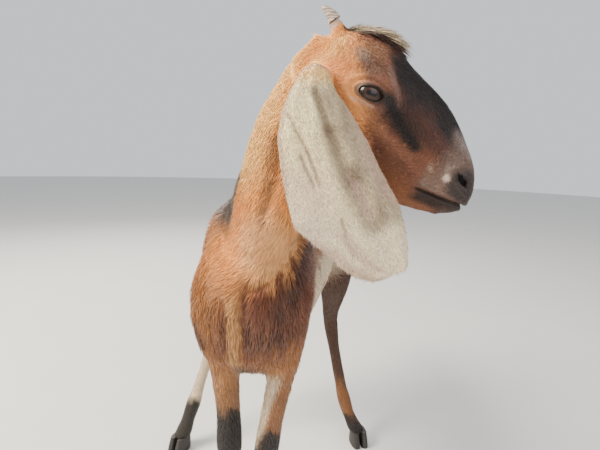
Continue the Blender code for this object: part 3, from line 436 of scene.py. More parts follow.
def muzzle_marks(m, wave):
    """Grey muzzle, its top paler with frosted hair and a painted highlight, dark round the nostril, with
    two pale spots.
    """
    s, _l, t = m.T
    under = above_mouth(m)
    muzzle = smooth(0.143, 0.163, s + 2.0 * wave) * smooth(-0.002, 0.006, under)
    nose = patch(m, (0.1860, 0.0225, -0.0120), (0.0160, 0.020, 0.0170), 0.35, 0.12, 24, 200.0)
    white = patch(m, (0.1682, 0.027, -0.0195), (0.0036, 0.02, 0.0034), 0.40, 0.25, 19, 500.0)
    return [(0.85 * muzzle, MUZZLE_GREY),
            (0.6 * muzzle * smooth(0.004, 0.014, t), MUZZLE_FROST_AND_HIGHLIGHT),
            (0.35 * muzzle * smooth(0.2, 1.0, noise(m, 420.0, 14)), MUZZLE_FLECK),
            (0.88 * nose, NOSE),
            (0.8 * smooth(0.190, 0.199, s) * smooth(-0.004, 0.004, under), NOSE_TIP),
            (0.92 * white, WHITE_SPOT),
            (0.6 * patch(m, (0.1525, 0.027, -0.0245), (0.0032, 0.02, 0.0026), 0.6), PALE_SPOT)]


def mouth_marks(m):
    s, l, _t = m.T
    under = above_mouth(m)
    lip = smooth(0.152, 0.166, s) * smooth(0.0015, -0.0005, under) * smooth(-0.016, -0.009, under)
    pit = oval(m, NOSTRIL_AT, *NOSTRIL_HALF, NOSTRIL_TILT)
    return [(0.92 * lip, LIP),
            (0.7 * smooth(0.180, 0.190, s) * smooth(-0.004, -0.010, under), CHIN_TIP),
            # Painted shade along the crease where the lips meet
            (0.95 * smooth(0.151, 0.158, s) * swell(under, 0.0, 0.0020), MOUTH_LINE_SHADE),
            # Painted shade inside each nostril's pit
            (0.97 * smooth(1.25, 0.85, pit) * (l > NOSTRIL_FROM_MIDDLE), NOSTRIL_SHADE)]


def head_colours(points):
    m = mirrored_head(points)
    wave = noise(m, 110.0, 11) * 0.003
    marks = cheek_marks(m, wave) + crown_marks(m, wave) + bridge_marks(m, wave)
    return painted(len(m), CHEEK, marks + muzzle_marks(m, wave) + mouth_marks(m))


def horn_foot(points):
    """Weight of the skin round the foot of each horn bud."""
    centre = HORN_AT + np.array((0.003, 0.0, -0.003))
    return patch(mirrored_head(points), centre, (0.0105, 0.0125, 0.0125), 0.25)


def facing_front(y):
    return smooth(0.050, 0.010, y)


def neck_marks(k, fine):
    """Gold neck, lit nape, peach throat, and painted shade in the groove beside it."""
    x, y, z = k.T
    neck = smooth(0.045, -0.035, y) * smooth(0.430, 0.510, z)
    nape = neck * smooth(0.016, -0.026, x - (z - 0.52) * 0.42 + 0.006 * fine)
    peach = patch(k, (0.036, -0.03, 0.515), (0.034, 0.09, 0.052), 0.45, 0.15, 17)
    groove = np.maximum(streak(k, (0.050, 0.640), (0.044, 0.600), 0.008, 0.7),
                        streak(k, (0.044, 0.600), (0.030, 0.552), 0.007, 0.7))
    return [(neck, GOLD),
            (0.85 * nape * smooth(0.56, 0.62, z), GOLD_LIT),
            (0.75 * facing_front(y) * peach, PEACH),
            (0.65 * neck * groove, NECK_GROOVE_SHADE)]


def back_marks(k, wide, hairy):
    """Tan sides, dark saddle on the withers and behind the neck, brown rump."""
    x, y, z = k.T
    withers = smooth(0.503, 0.540, z - 0.20 * (y + 0.03) + 0.012 * wide) * smooth(-0.045, -0.008, y)
    edge = 0.003 - 0.38 * (0.600 - z)
    behind = smooth(edge + 0.004, edge - 0.005, x + 0.002 * hairy)
    behind = behind * smooth(0.612, 0.598, z) * smooth(0.524, 0.542, z) * smooth(-0.062, -0.046, y)
    return [(0.9 * smooth(0.010, 0.080, y + 0.02 * wide), SIDE_TAN),
            (0.92 * withers, SADDLE),
            (0.90 * behind * smooth(0.090, 0.040, y + 0.02 * wide), SADDLE),
            (0.85 * smooth(0.30, 0.46, y + 0.05 * wide), BROWN)]


def flank_marks(k, wide, fine):
    """Cream patch with brown spots on each flank, and a pale belly."""
    _x, y, z = k.T
    flank = np.maximum(patch(k, (0.10, 0.225, 0.428), (0.07, 0.158, 0.080), 0.10, 0.27, 5, 38.0),
                       patch(k, (-0.10, 0.235, 0.445), (0.06, 0.125, 0.078), 0.10, 0.28, 6, 38.0))
    marks = [(0.95 * flank * smooth(0.064, 0.080, y + 0.010 * fine), CREAM)]
    for *centre, half_long, half_high in FLANK_SPOTS:
        spot = patch(k, centre, (0.03, half_long, half_high), 0.25, 0.34, 8, 120.0)
        marks.append((0.85 * spot, FLANK_SPOT))
    return marks + [(0.75 * smooth(0.345, 0.318, z + 0.008 * wide) * smooth(0.05, 0.10, y), CREAM)]


def chest_marks(k, fine, hairy):
    """Brown left side of the chest with painted shade where it turns from the light, darkest in two
    streaks; lighter brown right side, and the pale keel between.
    """
    x, y, z = k.T
    front = facing_front(y)
    edge = 0.466 + np.clip(2.2 * (x - 0.050), 0.0, 0.052) - 0.45 * np.maximum(0.0, 0.012 - x)
    chest = smooth(edge + 0.020, edge - 0.014, z + 0.016 * hairy + 0.008 * fine)
    chest = chest * smooth(-0.006, 0.012, x + 0.004 * hairy)
    chest = chest * smooth(0.345, 0.394, z + 0.020 * hairy - 0.25 * np.maximum(0.0, x - 0.05))
    chest = chest * smooth(0.090, 0.060, y)
    deep = np.maximum(streak(k, (0.076, 0.495), (0.054, 0.435), 0.015, 0.8),
                      streak(k, (0.014, 0.402), (0.050, 0.395), 0.014, 0.8))
    # A band, since the ragged edge comes from moving all three coordinates
    keel = band(k * FLATTEN + 0.0025 * hairy[:, None],
                (-0.003, 0.0, 0.445), (-0.008, 0.0, 0.362), 0.0070, 0.85)
    # The brown here is partly the coat and partly painted shade; the two streaks are painted shade
    return [(0.92 * chest, CHEST_SHADED_BROWN),
            (0.75 * chest * deep, CHEST_DEEP_SHADE),
            (0.5 * chest * smooth(0.1, 1.0, hairy + 0.4 * fine), CHEST_FLECK),
            (0.85 * front * streak(k, (-0.021, 0.425), (-0.028, 0.376), 0.017, 0.6), CHEST_SECOND),
            (0.6 * front * streak(k, (-0.018, 0.415), (-0.019, 0.372), 0.005, 0.8), CHEST_STREAK),
            (0.62 * front * keel, KEEL)]


def shade_marks(k):
    """Painted shade between the forelegs, in the armpit and at the elbow; red-brown on the shoulder."""
    return [(0.85 * patch(k, (0.004, -0.03, 0.322), (0.019, 0.09, 0.030), 0.5), BETWEEN_LEGS_SHADE),
            (0.75 * patch(k, (-0.074, -0.01, 0.380), (0.022, 0.07, 0.022), 0.4, 0.2, 23, 60.0), ARMPIT_SHADE),
            (0.75 * patch(k, (0.066, 0.062, 0.345), (0.032, 0.040, 0.042), 0.4, 0.2, 12, 60.0), ELBOW_SHADE),
            (0.35 * patch(k, (-0.074, 0.030, 0.430), (0.026, 0.060, 0.090), 0.5, 0.2, 13, 40.0), RED_BROWN)]


def tail_marks(k):
    x, y, z = k.T
    tail = smooth(0.553, 0.566, y)
    return [(0.9 * tail, DARK_BROWN),
            (0.8 * tail * smooth(0.012, 0.004, np.abs(x)) * smooth(0.50, 0.52, z), BLACK)]


def trunk_colours(points):
    """Neck, torso and tail in the kid's frame."""
    k = to_kid(points)
    wide, fine = noise(k, 26.0, 3), noise(k, 90.0, 4)
    hairy = noise(k * np.array((1.0, 1.0, 0.22)), 330.0, 16)
    marks = neck_marks(k, fine) + back_marks(k, wide, hairy) + flank_marks(k, wide, fine)
    return painted(len(k), TAN, marks + chest_marks(k, fine, hairy) + shade_marks(k) + tail_marks(k))


def leg_colours(points, name):
    """Legs in the kid's frame: light or brown above, black below."""
    k = to_kid(points)
    x, y, z = k.T
    ragged = 0.013 * noise(k, 70.0, 21) + 0.007 * noise(k * np.array((1, 1, 0.3)), 420.0, 22)
    rough = z + ragged
    if name == "front_leg_right":
        gold = patch(k, (-0.032, -0.02, 0.295), (0.012, 0.03, 0.030), 0.5)
        base, mark, dark = FORELEG_TAN, (0.7 * gold, FORELEG_GOLD), smooth(0.274, 0.254, rough)
    elif name == "front_leg_left":
        white = smooth(0.044, 0.034, x - 0.30 * (z - 0.28) + 0.3 * ragged) * smooth(0.030, 0.004, y)
        base, mark = FORELEG_BROWN, (0.92 * white * smooth(0.335, 0.315, z), CREAM)
        dark = smooth(0.258, 0.236, rough) * (1.0 - white * smooth(0.205, 0.225, rough))
    elif name == "hind_leg_left":
        base, mark, dark = HIND_BROWN, (0.6 * smooth(0.150, 0.105, rough), TAN), smooth(0.070, 0.048, rough)
    else:
        base, mark = BROWN, (0.94 * smooth(0.330, 0.285, z + ragged * 1.6), CREAM)
        dark = smooth(0.110, 0.086, rough)
    return painted(len(k), base, [mark, (0.97 * dark, BLACK)])


def ear_plane(points, name):
    """Both ears laid on one plane: x and z of the near ear, y left at 0."""
    k = to_kid(points)
    far = EAR_SHIFT if name == "ear_left" else 0.0
    return np.stack((k[:, 0] - far, np.zeros(len(k)), k[:, 2]), axis=-1)


def ear_inside(points, name):
    """Weight of the ear's side that faces the head, from its own mid surface."""
    x, _y, z = ear_plane(points, name).T
    terms = np.stack((np.ones(len(x)), x, z, x * z, x ** 2, z ** 2), axis=-1)
    y = to_kid(points)[:, 1]
    if name not in EAR_FITS:
        EAR_FITS[name] = np.linalg.lstsq(terms, y, rcond=None)[0]
    off = y - terms @ EAR_FITS[name]
    return smooth(0.0, 0.002, off if name == "ear_right" else -off)


def ear_colours(points, name):
    p = ear_plane(points, name)
    z = p[:, 2]
    wide, speck = noise(p, 60.0, 31), noise(p, 420.0, 32)
    strands = noise(p @ EAR_TURN * np.array((1.0, 1.0, 0.25)), 420.0, 33)
    # Painted shade on the ear's front strip, which turns from the light
    front = streak(p + wide[:, None] * 0.002, (0.118, 0.672), (0.166, 0.580), 0.017, 0.55)
    marks = [(0.4 * smooth(-0.1, 0.9, 0.7 * speck + 0.5 * strands + 0.35 * wide), EAR_GREY),
             (0.6 * smooth(0.585, 0.545, z), EAR_TIP),
             (0.5 * patch(p, (0.088, 0.0, 0.575), (0.030, 0.1, 0.035), 0.6), EAR_PINK),
             (front * (0.68 + 0.22 * strands), EAR_FRONT_SHADE)]
    # Painted shadow down each fold, and painted shade along the fine grooves
    for start, end, half, weight in EAR_FOLDS:
        fold = streak(p + wide[:, None] * 0.0015, start, end, half, 0.65)
        marks.append((weight * fold * (0.8 + 0.2 * strands), EAR_FOLD_SHADOW))
    for start, end in EAR_LINES:
        marks.append((0.65 * streak(p + speck[:, None] * 0.0004, start, end, 0.0015, 0.6), EAR_LINE_SHADE))
    marks.append((0.75 * smooth(0.682, 0.698, z + 0.004 * wide), GOLD_LIT))
    return painted(len(p), EAR_CREAM, marks + [(0.65 * ear_inside(points, name), EAR_LINING)])


def by_node(regions):
    """Each flesh node that has points of its own: its index, name and which they are."""
    for index, name in enumerate(FLESH):
        at = regions == index
        if at.any():
            yield index, name, at


def markings(points, regions):
    """Colour of every point, by its region, with soft borders between head, neck and trunk."""
    colours = np.zeros((len(points), 3))
    for index, name, at in by_node(regions):
        own = points[at]
        if name == "head":
            near = smooth(0.012, -0.004, to_head(own)[:, 0])[:, None]
            both = head_colours(own) * (1 - near) + trunk_colours(own) * near
            colours[at] = blend(both, 0.9 * horn_foot(own), HORN_GREY)
        elif KINDS[index] == "ear":
            colours[at] = ear_colours(own, name)
        elif KINDS[index] == "leg":
            colours[at] = leg_colours(own, name)
        elif name == "torso":
            colours[at] = haunch_blend(own, trunk_colours(own))
        else:
            colours[at] = trunk_colours(own)
    return colours


def haunch_blend(points, colours):
    """Carry each leg's colour a little way up the trunk."""
    x, y, z = to_kid(points).T
    for name, (side, y_low, y_high, z_low, z_high) in LEG_ROOTS.items():
        weight = smooth(z_high, z_low, z - 0.35 * np.maximum(0.0, x * side - 0.04)) * (x * side > 0)
        weight = weight * smooth(y_low, y_low + 0.03, y) * smooth(y_high, y_high - 0.03, y)
        colours = colours * (1 - weight[:, None]) + leg_colours(points, name) * weight[:, None]
    return colours


# Lie of the coat

NECK_FLOW = np.array((-0.46, 0.40, -0.80))
EVEN_FLOWS = {"neck": NECK_FLOW, "leg": (0.0, 0.18, -1.0), "tail": (0.0, 0.35, -1.0)}


def head_lie(h):
    """Towards the nose on top, turning down and back over the cheeks."""
    s, l, t = h.T
    turn = smooth(0.016, -0.040, t) * math.radians(150)
    fan = LEFT * (np.sign(l) * smooth(0.0, 0.03, np.abs(l)) * 0.25)[:, None]
    own = AHEAD * np.cos(turn)[:, None] - DORSAL * np.sin(turn)[:, None] + fan
    nape = smooth(0.012, -0.008, s)[:, None]
    return own * (1 - nape) + NECK_FLOW * nape


def torso_lie(k):
    """Back along the spine, and down the chest, sides and buttocks."""
    back = smooth(-0.03, 0.06, k[:, 1])[:, None]
    side = smooth(0.58, 0.40, k[:, 2])[:, None]
    rear = smooth(0.47, 0.53, k[:, 1])[:, None]
    return (np.array((0, 1.0, 0)) * back * (1 - 0.85 * rear)
            - np.array((0, 0, 1.0)) * (0.25 + 0.55 * side + (1 - back) + rear))


def ear_lie(k):
    """Down the ear, fanning out to both edges."""
    across = (k[:, 0] - 0.10 - (0.64 - k[:, 2]) * 0.30)[:, None]
    return np.array((0.30, 0.0, -0.95)) + np.array((7.0, 0.0, 2.0)) * across


def lie_of_coat(points, regions):
    """Direction in which the hair lies, before it is laid along the skin."""
    k, h = to_kid(points), to_head(points)
    flow = np.zeros((len(points), 3))
    for index, _name, at in by_node(regions):
        kind = KINDS[index]
        if kind == "head":
            flow[at] = head_lie(h[at])
        elif kind == "torso":
            flow[at] = torso_lie(k[at])
        elif kind == "ear":
            flow[at] = ear_lie(k[at])
        else:
            flow[at] = EVEN_FLOWS[kind]
    sway = np.stack([noise(k, 55.0, seed) for seed in (41, 42, 43)], axis=-1)
    return unit(flow) + 0.16 * sway


# Mesh helpers

def add_object(name, mesh):
    ob = bpy.data.objects.new(name, mesh)
    bpy.context.scene.collection.objects.link(ob)
    return ob


def read(items, what, width=1, kind=float):
    """One value of every item of a mesh, a row for each."""
    values = np.zeros(len(items) * width, kind)
    items.foreach_get(what, values)
    return values.reshape(-1, width)


def vertices_of(mesh):
    return read(mesh.vertices, "co", 3)


def normals_of(mesh):
    return read(mesh.vertex_normals, "vector", 3, np.float32).astype(float)


def set_vertices(mesh, points):
    mesh.vertices.foreach_set("co", points.reshape(-1))
    mesh.update()


def apply_modifiers(ob):
    bpy.context.view_layer.update()
    evaluated = ob.evaluated_get(bpy.context.evaluated_depsgraph_get())
    mesh = bpy.data.meshes.new_from_object(evaluated)
    ob.modifiers.clear()
    old, ob.data = ob.data, mesh
    bpy.data.meshes.remove(old)


def colour_mesh(mesh, colours):
    layer = mesh.color_attributes.new("Coat", "FLOAT_COLOR", "POINT")
    rgba = np.ones((len(colours), 4), np.float32)
    rgba[:, :3] = colours
    layer.data.foreach_set("color", rgba.reshape(-1))


def bake_layer(mesh, uv):
    """The unwrap that baked colours use, from each point's place on it."""
    corners = read(mesh.loops, "vertex_index", 1, np.int32)[:, 0]
    layer = mesh.uv_layers.new(name="OFBake")
    layer.data.foreach_set("uv", uv[corners].astype(np.float32).reshape(-1))


def mesh_of(bm, name):
    mesh = bpy.data.meshes.new(name)
    bm.to_mesh(mesh)
    bm.free()
    return mesh


def mesh_from_arrays(name, points, faces):
    """faces is a list of index arrays, each of one polygon size."""
    mesh = bpy.data.meshes.new(name)
    mesh.vertices.add(len(points))
    mesh.vertices.foreach_set("co", np.asarray(points, np.float32).reshape(-1))
    loops = np.concatenate([f.reshape(-1) for f in faces])
    sizes = np.concatenate([np.full(len(f), f.shape[1]) for f in faces])
    mesh.loops.add(len(loops))
    mesh.loops.foreach_set("vertex_index", loops.astype(np.int32))
    mesh.polygons.add(len(sizes))
    starts = np.concatenate(([0], np.cumsum(sizes)[:-1]))
    mesh.polygons.foreach_set("loop_start", starts.astype(np.int32))
    mesh.update(calc_edges=True)
    mesh.shade_smooth()
    return mesh


# The unwrap that the coat's baked colours use

def unwrap_angle(points, region):
    """Each point's angle round its region's axis and its distance along it, unscaled."""
    name = FLESH[region]
    k = to_kid(points)
    h = to_head(points)
    if name == "head":
        return np.arctan2(h[:, 1], h[:, 2] + 0.030), h[:, 0]
    if name == "neck":
        along = k @ unit(np.array((0.45, -0.55, 0.70)))
        middle = np.array((0.014, 0.010, 0.522)) + (k[:, 2:3] - 0.522) * np.array((0.50, -0.55, 1.0))
        d = k - middle
        return np.arctan2(d[:, 0], d[:, 1]), along
    if name == "torso":
        return np.arctan2(k[:, 0], k[:, 2] - 0.45), k[:, 1]
    if name == "tail":
        return np.arctan2(k[:, 0], k[:, 1] - 0.575), k[:, 2]
    middle = k[:, :2].mean(axis=0)
    low = k[:, 2] < np.median(k[:, 2])
    slope = (k[low, :2].mean(axis=0) - k[~low, :2].mean(axis=0)) / (
        k[low, 2].mean() - k[~low, 2].mean())
    d = k[:, :2] - middle - (k[:, 2:3] - k[:, 2].mean()) * slope
    if kind_of(name) == "ear":
        return d[:, 0] + np.where(d[:, 1] > 0, 0.20, 0.0), k[:, 2]
    return np.arctan2(d[:, 0], d[:, 1]), k[:, 2]


def unit_square(values, margin=0.01):
    low, high = values.min(axis=0), values.max(axis=0)
    return margin + (values - low) / np.maximum(high - low, 1e-6) * (1 - 2 * margin)


# Skin

def grown_copy(name):
    """A flesh node's points and faces, swollen so that it meets its neighbours."""
    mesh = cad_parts[name].data
    points = vertices_of(mesh) + normals_of(mesh) * SKIN_GROW
    return points, [tuple(p.vertices) for p in mesh.polygons]


def joined_flesh():
    points, faces = [], []
    base = 0
    for name in FLESH:
        own, polygons = grown_copy(name)
        points.append(own)
        faces.extend(tuple(base + i for i in p) for p in polygons)
        base += len(own)
    mesh = bpy.data.meshes.new("skin")
    mesh.from_pydata([tuple(p) for p in np.concatenate(points)], [], faces)
    return add_object("skin", mesh)


def weld_nodes(ob):
    """The imported nodes split their points at sharp edges, so join them again."""
    bm = bmesh.new()
    bm.from_mesh(ob.data)
    bmesh.ops.remove_doubles(bm, verts=bm.verts, dist=WELD)
    bm.to_mesh(ob.data)
    bm.free()


def add_group(ob, name, weights):
    group = ob.vertex_groups.new(name=name)
    levels = np.round(weights, 1)
    for level in np.unique(levels):
        if level > 0:
            group.add(np.nonzero(levels == level)[0].tolist(), float(level), "REPLACE")


def neighbour_smooth(mesh, values, steps):
    a, b = read(mesh.edges, "vertices", 2, np.int32).T
    count = np.bincount(a, minlength=len(values)) + np.bincount(b, minlength=len(values))
    for _ in range(steps):
        total = np.bincount(a, values[b], len(values)) + np.bincount(b, values[a], len(values))
        values = 0.5 * values + 0.5 * total / np.maximum(count, 1)
    return values


def swell(x, middle, half):
    """A bell over a number."""
    return np.exp(-((x - middle) / half) ** 2)


def ridge(points, start, end, half, height):
    """Height of a soft ridge or, below zero, a groove between two points."""
    u, d = beside_line(points, start, end)
    fade = np.clip(np.minimum(u, 1 - u) * 5 + 0.35, 0, 1)
    return height * fade * swell(d, 0.0, half)


def ridge_xz(points, start, end, half, height):
    """A ridge whose ends are given in x and z alone."""
    return ridge(points, (start[0], 0, start[1]), (end[0], 0, end[1]), half, height)


def head_relief(points):
    """Eye rim, bones of the face, mouth, nostrils and the crease between their wings."""
    m = mirrored_head(points)
    s, l, _t = m.T
    eye = oval(m, (EYE_S, EYE_T), 0.0178, 0.0112, SLIT_TILT)
    rise = -0.0009 * swell(eye, 1.0, 0.10) + 0.0007 * swell(eye, 1.28, 0.14)
    for start, end, half, height in FACE_RIDGES:
        rise += ridge(m, start, end, half, height)
    under = above_mouth(m)
    lips = -0.0042 * swell(under, 0.0, 0.0017) + 0.0008 * swell(under, 0.0042, 0.002)
    rise += smooth(0.152, 0.160, s) * (lips + 0.0006 * swell(under, -0.0045, 0.0022))
    pit = oval(m, NOSTRIL_AT, *NOSTRIL_HALF, NOSTRIL_TILT)
    wing = -0.0036 * smooth(1.20, 0.50, pit) + 0.0010 * swell(pit, 1.55, 0.30)
    rise += (l > NOSTRIL_FROM_MIDDLE) * wing
    rise += 0.0008 * smooth(0.006, 0.012, l) - 0.0008
    return rise + 0.0004 * noise(m, 260.0, 55) * smooth(0.15, 0.17, s)


def ear_relief(points, name):
    """Long folds and veins of the hanging ears, on the side away from the head."""
    p = ear_plane(points, name)
    rise = 0.0004 * noise(p, 130.0, 51)
    for start, end, half, weight in EAR_FOLDS:
        off = np.array((0.9, 0.0, 0.4)) * half * 1.4
        rise -= ridge_xz(p, start, end, half * 0.55, 0.0016 * weight)
        rise += ridge_xz(p - off, start, end, half * 0.6, 0.0008)
        rise += ridge_xz(p + off, start, end, half * 0.6, 0.0006)
    for start, end in EAR_LINES:
        rise -= ridge_xz(p, start, end, 0.0018, 0.0011)
    rise *= 1.0 - 0.7 * ear_inside(points, name)
    return rise * smooth(0.702, 0.685, p[:, 2])


def body_relief(points):
    """Chest and neck muscles, ribs, hollow of the flank and point of the hip."""
    k = to_kid(points)
    x, y, z = k.T
    rise = 0.0010 * noise(k, 45.0, 53)
    ribs = smooth(0.10, 0.16, y) * smooth(0.34, 0.26, y) * smooth(0.33, 0.38, z) * smooth(0.54, 0.48, z)
    rise += 0.0006 * ribs * np.sin((y + 0.35 * z) * 2 * math.pi / RIB_SPACING)
    over = np.abs(k) * np.array((0.0, 1.0, 1.0))
    hollow = patch(over, (0, 0.345, 0.500), (1, 0.045, 0.040), 0.8)
    rise -= 0.0060 * hollow * smooth(0.05, 0.08, np.abs(x))
    rise += 0.0025 * patch(np.abs(k), (0.062, 0.395, 0.565), (0.03, 0.028, 0.02), 0.8)
    flat = k * FLATTEN
    front = smooth(0.045, 0.015, y)
    for start, end, half, depth in CHEST_GROOVES:
        rise -= front * ridge_xz(flat, start, end, half, depth)
    rise += front * ridge_xz(flat, (-0.003, 0.450), (-0.008, 0.355), 0.0065, 0.0016)
    rise -= 0.0010 * patch(k, (0.004, -0.03, 0.315), (0.022, 0.10, 0.032), 0.7)
    rise -= 0.0015 * patch(k, (-0.078, 0.015, 0.372), (0.03, 0.06, 0.026), 0.6)
    return rise


def slim_ear(points, name):
    """Bring the ear's front edge and the back of its tip in to the photograph's outline."""
    d = ear_plane(points, name) - np.array((EAR_ROOT[0], 0.0, EAR_ROOT[1]))
    across, _off, along = (d @ EAR_TURN).T
    ends = smooth(0.0, 0.035, along)
    front = np.maximum(across, 0.0) * 0.13 * ends * smooth(0.205, 0.180, along)
    back = np.maximum(-across, 0.0) * 0.24 * smooth(0.125, 0.175, along)
    return points + np.outer(back - front, EAR_TURN[:, 0])


def relief_of(points, regions):
    """Sculpted height of every point of the skin."""
    rise = np.zeros(len(points))
    for index, name, at in by_node(regions):
        if name == "head":
            rise[at] = head_relief(points[at])
        elif KINDS[index] == "ear":
            rise[at] = ear_relief(points[at], name)
        elif name != "tail":
            rise[at] = body_relief(points[at])
    return rise


def eye_distance(points):
    return np.minimum(np.linalg.norm(points - EYES["right"], axis=-1),
                      np.linalg.norm(points - EYES["left"], axis=-1))


def smooth_skin(ob, kinds):
    """Melt the solids' facets and locks away, but not the eye openings."""
    points = vertices_of(ob.data)
    h = to_head(points)
    open_eyes = smooth(0.020, 0.026, eye_distance(points))
    locks = (kinds == "head") & (h[:, 0] < 0.075) & (h[:, 2] > 0.008)
    soft = np.maximum(locks, kinds == "tail").astype(float)
    body = np.isin(kinds, ("torso", "neck", "leg")) * open_eyes
    groups = {"all": np.maximum(open_eyes, 0.3), "soft": soft, "body": body}
    for name, weights in groups.items():
        add_group(ob, name, weights)
        mod = ob.modifiers.new(name, "SMOOTH")
        mod.factor = 0.5
        mod.iterations = SMOOTH_STEPS[name]
        mod.vertex_group = name
    apply_modifiers(ob)


def thin_skin(ob, kinds):
    """Fewer faces on the body, where the coat hides them, than on head and ears."""
    add_group(ob, "coarse", np.where(np.isin(kinds, ("torso", "neck", "leg", "tail")), 1.0, 0.1))
    thin = ob.modifiers.new("thin", "DECIMATE")
    thin.ratio = min(1.0, SKIN_TRIANGLES / (2.0 * len(ob.data.polygons)))
    thin.vertex_group = "coarse"
    thin.vertex_group_factor = THIN_EVENLY
    thin.use_collapse_triangulate = True
    apply_modifiers(ob)


def sorted_points(mesh):
    """A skin's points with the node and the kind that each belongs to."""
    points = vertices_of(mesh)
    regions = regions_of(points)
    return points, regions, np.array([KINDS[r] for r in regions])


def fused_flesh():
    """One closed mesh round all the flesh nodes."""
    ob = joined_flesh()
    weld_nodes(ob)
    remesh = ob.modifiers.new("fuse", "REMESH")
    remesh.mode = "VOXEL"
    remesh.voxel_size = SKIN_VOXEL
    apply_modifiers(ob)
    return ob


def sculpt_skin(mesh):
    """Sink the skin by the coat's depth and raise the relief on it; gives the kinds back."""
    points, regions, kinds = sorted_points(mesh)
    depth = np.array([COAT_DEPTH[kind] for kind in kinds]) + SKIN_GROW
    depth = neighbour_smooth(mesh, depth, DEPTH_STEPS)
    rise = relief_of(points, regions)
    rise = np.where(kinds == "head", rise, neighbour_smooth(mesh, rise, RELIEF_STEPS))
    points = points + normals_of(mesh) * (rise - depth)[:, None]
    for index, name, at in by_node(regions):
        if KINDS[index] == "ear":
            points[at] = slim_ear(points[at], name)
    set_vertices(mesh, points)
    return kinds


def make_skin():
    ob = fused_flesh()
    smooth_skin(ob, sorted_points(ob.data)[2])
    thin_skin(ob, sculpt_skin(ob.data))
    mesh = ob.data
    points, regions, _kinds = sorted_points(mesh)
    colour_mesh(mesh, markings(points, regions) * SKIN_SHADE)
    mesh.shade_smooth()
    skin_unwrap(mesh, points, regions)
    mesh.materials.append(coat_material("skin_hide", rough=0.62, strength=0.35, scale=420.0))
    return ob, regions


def skin_unwrap(mesh, points, regions):
    """The skin's own unwrap, one tile for each region."""
    uv = np.zeros((len(points), 2))
    for index, _name, at in by_node(regions):
        tile = bake_places(points[at], index)
        uv[at] = (tile + np.array((index % 4, index // 4))) / np.array((4, 3))
    bake_layer(mesh, uv)


# Coat

def root_places(mesh, regions, kind_index, count, weight_of=None):
    """Seeded places on the skin's triangles of one region: points, normals and regions."""
    mesh.calc_loop_triangles()
    triangles = read(mesh.loop_triangles, "vertices", 3, np.int32)
    triangles = triangles[np.isin(regions[triangles[:, 0]], kind_index)]
    points, normals = vertices_of(mesh), normals_of(mesh)
    a, b, c = (points[triangles[:, i]] for i in range(3))
    area = np.linalg.norm(np.cross(b - a, c - a), axis=-1) / 2
    if weight_of is not None:
        area = area * weight_of((a + b + c) / 3)
    order = np.cumsum(area) / area.sum()
    chosen = np.searchsorted(order, (np.arange(count) + RNG.uniform(size=count)) / count)
    corners = triangles[np.minimum(chosen, len(triangles) - 1)]
    u, v = RNG.uniform(size=(2, count))
    over = u + v > 1
    u[over], v[over] = 1 - u[over], 1 - v[over]
    shares = (1 - u - v, u, v)

    def mix(rows):
        return sum(rows[corners[:, i]] * share[:, None] for i, share in enumerate(shares))

    return mix(points), unit(mix(normals)), regions[corners[:, 0]]


def tuft_stations(roots, normals, way, length, width, lift, levels, sunk, bend):
    """Each tuft's rows of three points, and its tip, from root to tip."""
    side = np.cross(normals, way)
    stations = []
    for u in levels:
        height = -sunk * (1 - u) ** 3 + lift * u ** 0.75 - bend * (length * u) ** 2
        centre = roots + way * (length * u) + normals * height
        if u == 1.0:
            stations.append(centre[:, None, :])
            continue
        half = width * 0.5 * (0.8 if u == 0.0 and len(levels) > 2 else 1.0 - 0.42 * u)
        top = normals * (width * TUFT_ROUND * (1.0 - 0.4 * u))
        stations.append(np.stack((centre - side * half, centre + side * half, centre + top), axis=1))
    return np.concatenate(stations, axis=1)


def tuft_faces(n, rows):
    per = rows * 3 + 1
    base = (np.arange(n) * per)[:, None]
    quads, tips = [], []
    for row in range(rows - 1):
        for i in range(3):
            j = (i + 1) % 3
            quads.append(base + np.array((row * 3 + i, row * 3 + j, row * 3 + 3 + j, row * 3 + 3 + i)))
    last = (rows - 1) * 3
    for i in range(3):
        tips.append(base + np.array((last + i, last + (i + 1) % 3, per - 1)))
    tips.append(base + np.array((0, 2, 1)))
    return ([np.concatenate(quads)] if quads else []) + [np.concatenate(tips)]


def tuft_piece(name, roots, normals, flow, sizes, colours, bake, bends=1, bend=0.0, spread=0.14):
    """Joined tufts: flat tapered strands of three sides, each with its root sunk in the skin."""
    length, width, lift = (size[:, None] for size in sizes)
    way = unit(flow - normals * np.sum(flow * normals, axis=-1, keepdims=True))
    way = unit(way + np.cross(normals, way) * RNG.normal(scale=spread, size=len(roots))[:, None])
    levels = [0.9 * i / (bends + 1) for i in range(bends + 1)] + [1.0]
    sunk = ROOT_SUNK[min(bends, 1)]
    points = tuft_stations(roots, normals, way, length, width, lift, levels, sunk, bend)
    mesh = mesh_from_arrays(name, points.reshape(-1, 3), tuft_faces(len(roots), bends + 1))
    along = np.append(np.repeat(levels[:-1], 3), 1.0)
    across = np.append(np.tile((-0.5, 0.5, 0.0), bends + 1), 0.0)
    shade = np.append(0.80 + 0.30 * along[:-1], TIP_SHADE)
    colour_mesh(mesh, (colours[:, None, :] * shade[None, :, None]).reshape(-1, 3))
    uv = bake[:, None, :] + BAKE_PATCH * np.stack((across, along), axis=-1)[None]
    bake_layer(mesh, uv.reshape(-1, 2))
    return add_object(name, mesh)


